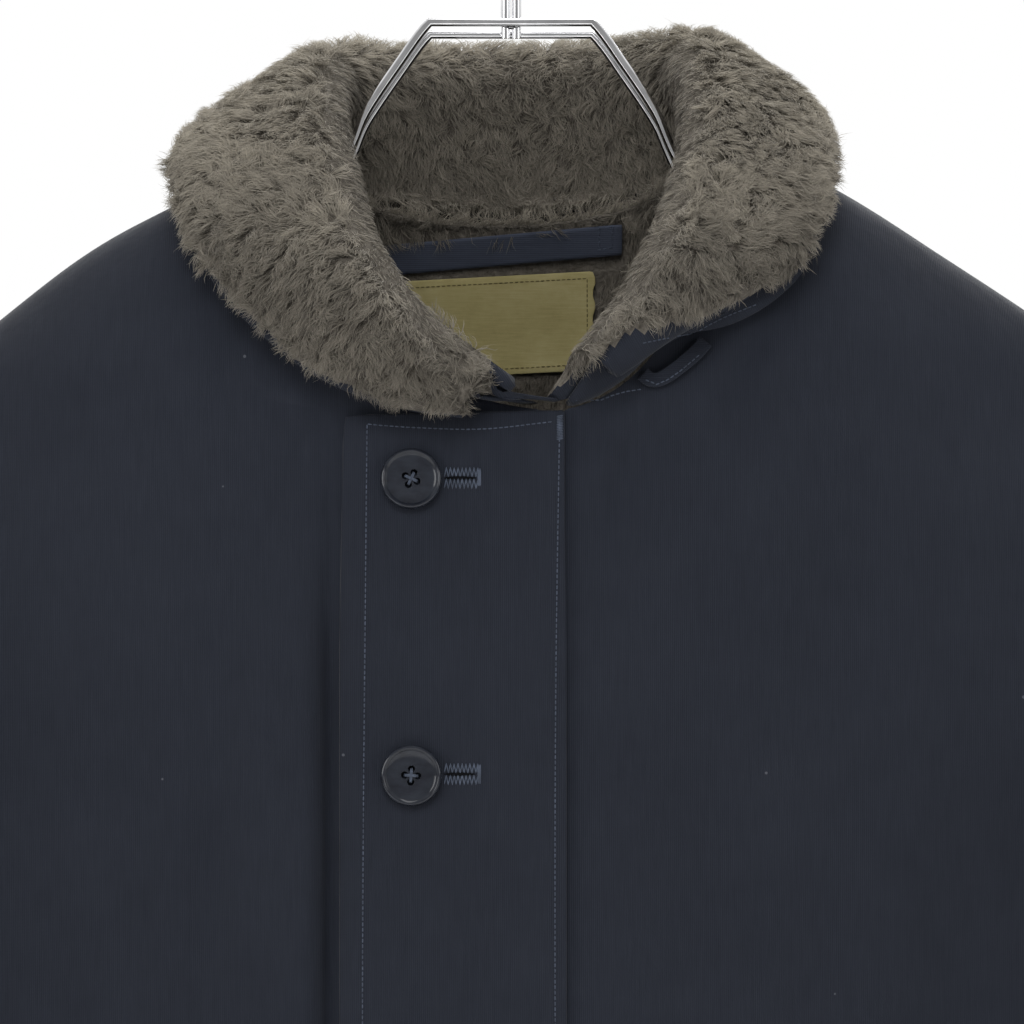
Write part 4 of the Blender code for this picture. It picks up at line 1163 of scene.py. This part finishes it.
def stand(middle, facing):
    return 1.0 * ((middle[:, 1] >= 0.02) & (facing[:, 1] < 0.1))


def foot(middle, facing):
    return stand(middle, facing) * (middle[:, 2] < -0.140)


def behind(middle, facing):
    under = (middle[:, 1] < 0.02) & (facing[:, 1] >= 0.35) & (over_edge(middle) > 2 * PILE_EDGE_ROOM)
    return 1.0 * (((middle[:, 1] >= 0.02) & (facing[:, 1] >= 0.1)) | under)


def over_lining_top(middle):
    """Height over the lining's top edge, which dips at the middle."""
    xs, zs = zip(*LINING_TOP)
    return middle[:, 2] - np.interp(middle[:, 0], xs, zs)


def upper_lining(middle, facing):
    return 1.0 * ((facing[:, 1] < 0.3) & (middle[:, 2] >= -0.200))


def lining_top(middle, facing):
    return 1.0 * ((facing[:, 1] < 0.5) & (over_lining_top(middle) > -0.005))


def lower_lining(middle, facing):
    return 1.0 * ((facing[:, 1] < 0.3) & (middle[:, 2] < -0.200))


# The brightness settings below are painted light and shade on one wool: the pile that looks into the neck and
# the lining low in the neck are painted darker for the shade they lie in, and the stand is painted paler.
pile("fall_pile_left", collar_bed, fall(1), 36000, 11, lean=0.30)
pile("fall_pile_right", collar_bed, fall(-1), 36000, 12, lean=-0.30)
pile("neck_pile", collar_bed, neck, 8000, 16, droop=1.6, length=0.0050, rise=0.42, painted_lightness=-0.14)
pile("stand_pile", collar_bed, stand, 24000, 13, droop=1.3, painted_lightness=0.06)
pile("stand_foot_pile", collar_bed, foot, 5000, 17, droop=3.0, length=0.0125, rise=0.25, painted_lightness=0.02)
pile("collar_back_pile", collar_bed, behind, 18000, 14)
pile("lining_pile", lining_bed, upper_lining, 6000, 15, droop=1.6, length=0.009)
pile("lining_top_pile", lining_bed, lining_top, 3200, 19, droop=-2.2, length=0.0085, rise=0.45, painted_lightness=-0.02)
pile("lower_lining_pile", lining_bed, lower_lining, 8000, 18, droop=1.2, length=0.006, painted_lightness=-0.24)

# Rows of stitches on the front, each as the cloth it is sewn through and its x, z points
flap_tree = tree_of(flap)
body_tree = tree_of(front_right, front_left, back)
collar_tree = tree_of(collar_bed, under_collar, front_left, flap)
latch_tree = tree_of(latch, front_left)
FLAP_CORNER = (-0.0526, -0.2471)
rows = {
    "flap_edge_stitches": (flap_tree, [
        FLAP_CORNER, (-0.0530, -0.29), (-0.0540, -0.40), (-0.0544, -0.55), (-0.0546, -0.8),
    ]),
    "flap_top_stitches": (flap_tree, [
        FLAP_CORNER, (-0.0507, -0.2473), (-0.0311, -0.2486), (-0.0113, -0.2490), (0.0142, -0.2464),
    ]),
    "flap_seam_stitches": (flap_tree, [(0.0178, -0.2460), (0.0166, -0.32), (0.0162, -0.55), (0.0162, -0.8)]),
    "flap_foot_stitches": (flap_tree, [(-0.0540, -0.7975), (0.0160, -0.7975)]),
    "collar_rim_stitches": (collar_tree, [
        (0.0477, -0.2180), (0.0576, -0.2158), (0.0678, -0.2132), (0.0758, -0.2090), (0.0900, -0.2032),
    ]),
    "collar_lobe_stitches": (collar_tree, [
        (0.0233, -0.2384), (0.0295, -0.2392), (0.0346, -0.2377), (0.0390, -0.2359), (0.0470, -0.2344),
    ]),
    "latch_stitches": (latch_tree, [
        (0.0490, -0.2308), (0.0510, -0.2321), (0.0540, -0.2325), (0.0583, -0.2303), (0.0636, -0.2263),
        (0.0690, -0.2217),
    ]),
}
for name, (tree, line) in rows.items():
    stitch_mesh(name, flat_row(tree, line), SLATE)

tack = [(0.0179, z) for z in np.arange(-0.2526, -0.2438, 0.0006)]
tack_places = close_places(flap_tree, tack, [(1, 0, 0.15)] * len(tack))
stitch_mesh("flap_tack", tack_places, SLATE, 0.0024, 0.00028)

LABEL_LINE = [(-0.0508, -0.1942), (0.0291, -0.1900), (0.0293, -0.2226), (-0.0508, -0.2269)]
LOOP_BOX = [(0.0336, -0.1712), (0.0386, -0.1706), (0.0386, -0.1785), (0.0336, -0.1792)]
for word, cloth, corners, colour in (
    ("label", label, LABEL_LINE, thread("mustard sewing thread", (0.115, 0.094, 0.040))),
    ("loop", loop, LOOP_BOX, SLATE),
):
    places = []
    for first, second in zip(corners, corners[1:] + corners[:1]):
        places += flat_row(tree_of(cloth), [first, second], fine=0.002)
    stitch_mesh(word + "_stitches", places, colour, 0.0014, 0.00022)

# The slits' near-black stuff is painted shade, standing for the shadow inside each cut.
SLIT_SHADE = pile_backing("shadowed slit", (0.0020, 0.0022, 0.0030), (0.0045, 0.0050, 0.0062))
for k, spec in enumerate(BUTTONS):
    x, _, z = spec["place"]
    buttonhole(f"buttonhole_{k + 1}", flap_tree, x + HOLE_ASIDE, z + HOLE_UP, SLATE, SLIT_SHADE)

# Seams outside the photo: at the hem and cuffs, down the sides and along the shoulders
HEM_Z = -0.8080
CUFF_CENTRE = (0.2860, 0.0, -0.7860)
hems = {
    "front_right": (-0.2200, -0.1500, -0.0640),
    "front_left": (0.0230, 0.1200, 0.2200),
    "back": (-0.2200, 0.0, 0.2200),
}
hidden = {}
for word, xs in hems.items():
    way = -1 if word == "back" else 1
    hidden["hem_" + word] = flat_row(body_tree, [(x, HEM_Z) for x in xs], way, HIDDEN_PITCH)
for side, word, sleeve in ((1, "left", sleeves[0]), (-1, "right", sleeves[1])):
    seam = [(side * 0.30, 0.010, z) for z in np.linspace(-0.44, -0.80, 60)]
    hidden["side_seam_" + word] = row_places(body_tree, seam, [(-side, 0, 0)] * 60, HIDDEN_PITCH)
    ridge = [(side * x, 0.010, -0.05) for x in np.linspace(0.130, 0.195, 20)]
    hidden["shoulder_seam_" + word] = row_places(body_tree, ridge, [(0, 0, -1)] * 20, HIDDEN_PITCH)
    centre = (side * CUFF_CENTRE[0], *CUFF_CENTRE[1:])
    hidden["cuff_" + word] = ring_row(tree_of(sleeve), centre, HIDDEN_PITCH)
for name, places in hidden.items():
    stitch_mesh(name + "_stitches", places, SLATE, 0.0021, 0.00030)
buttons(button_gloss(), SLATE)

STEEL = chrome()
hanger_frame(STEEL)
hanger_hook(STEEL)
weld(STEEL)
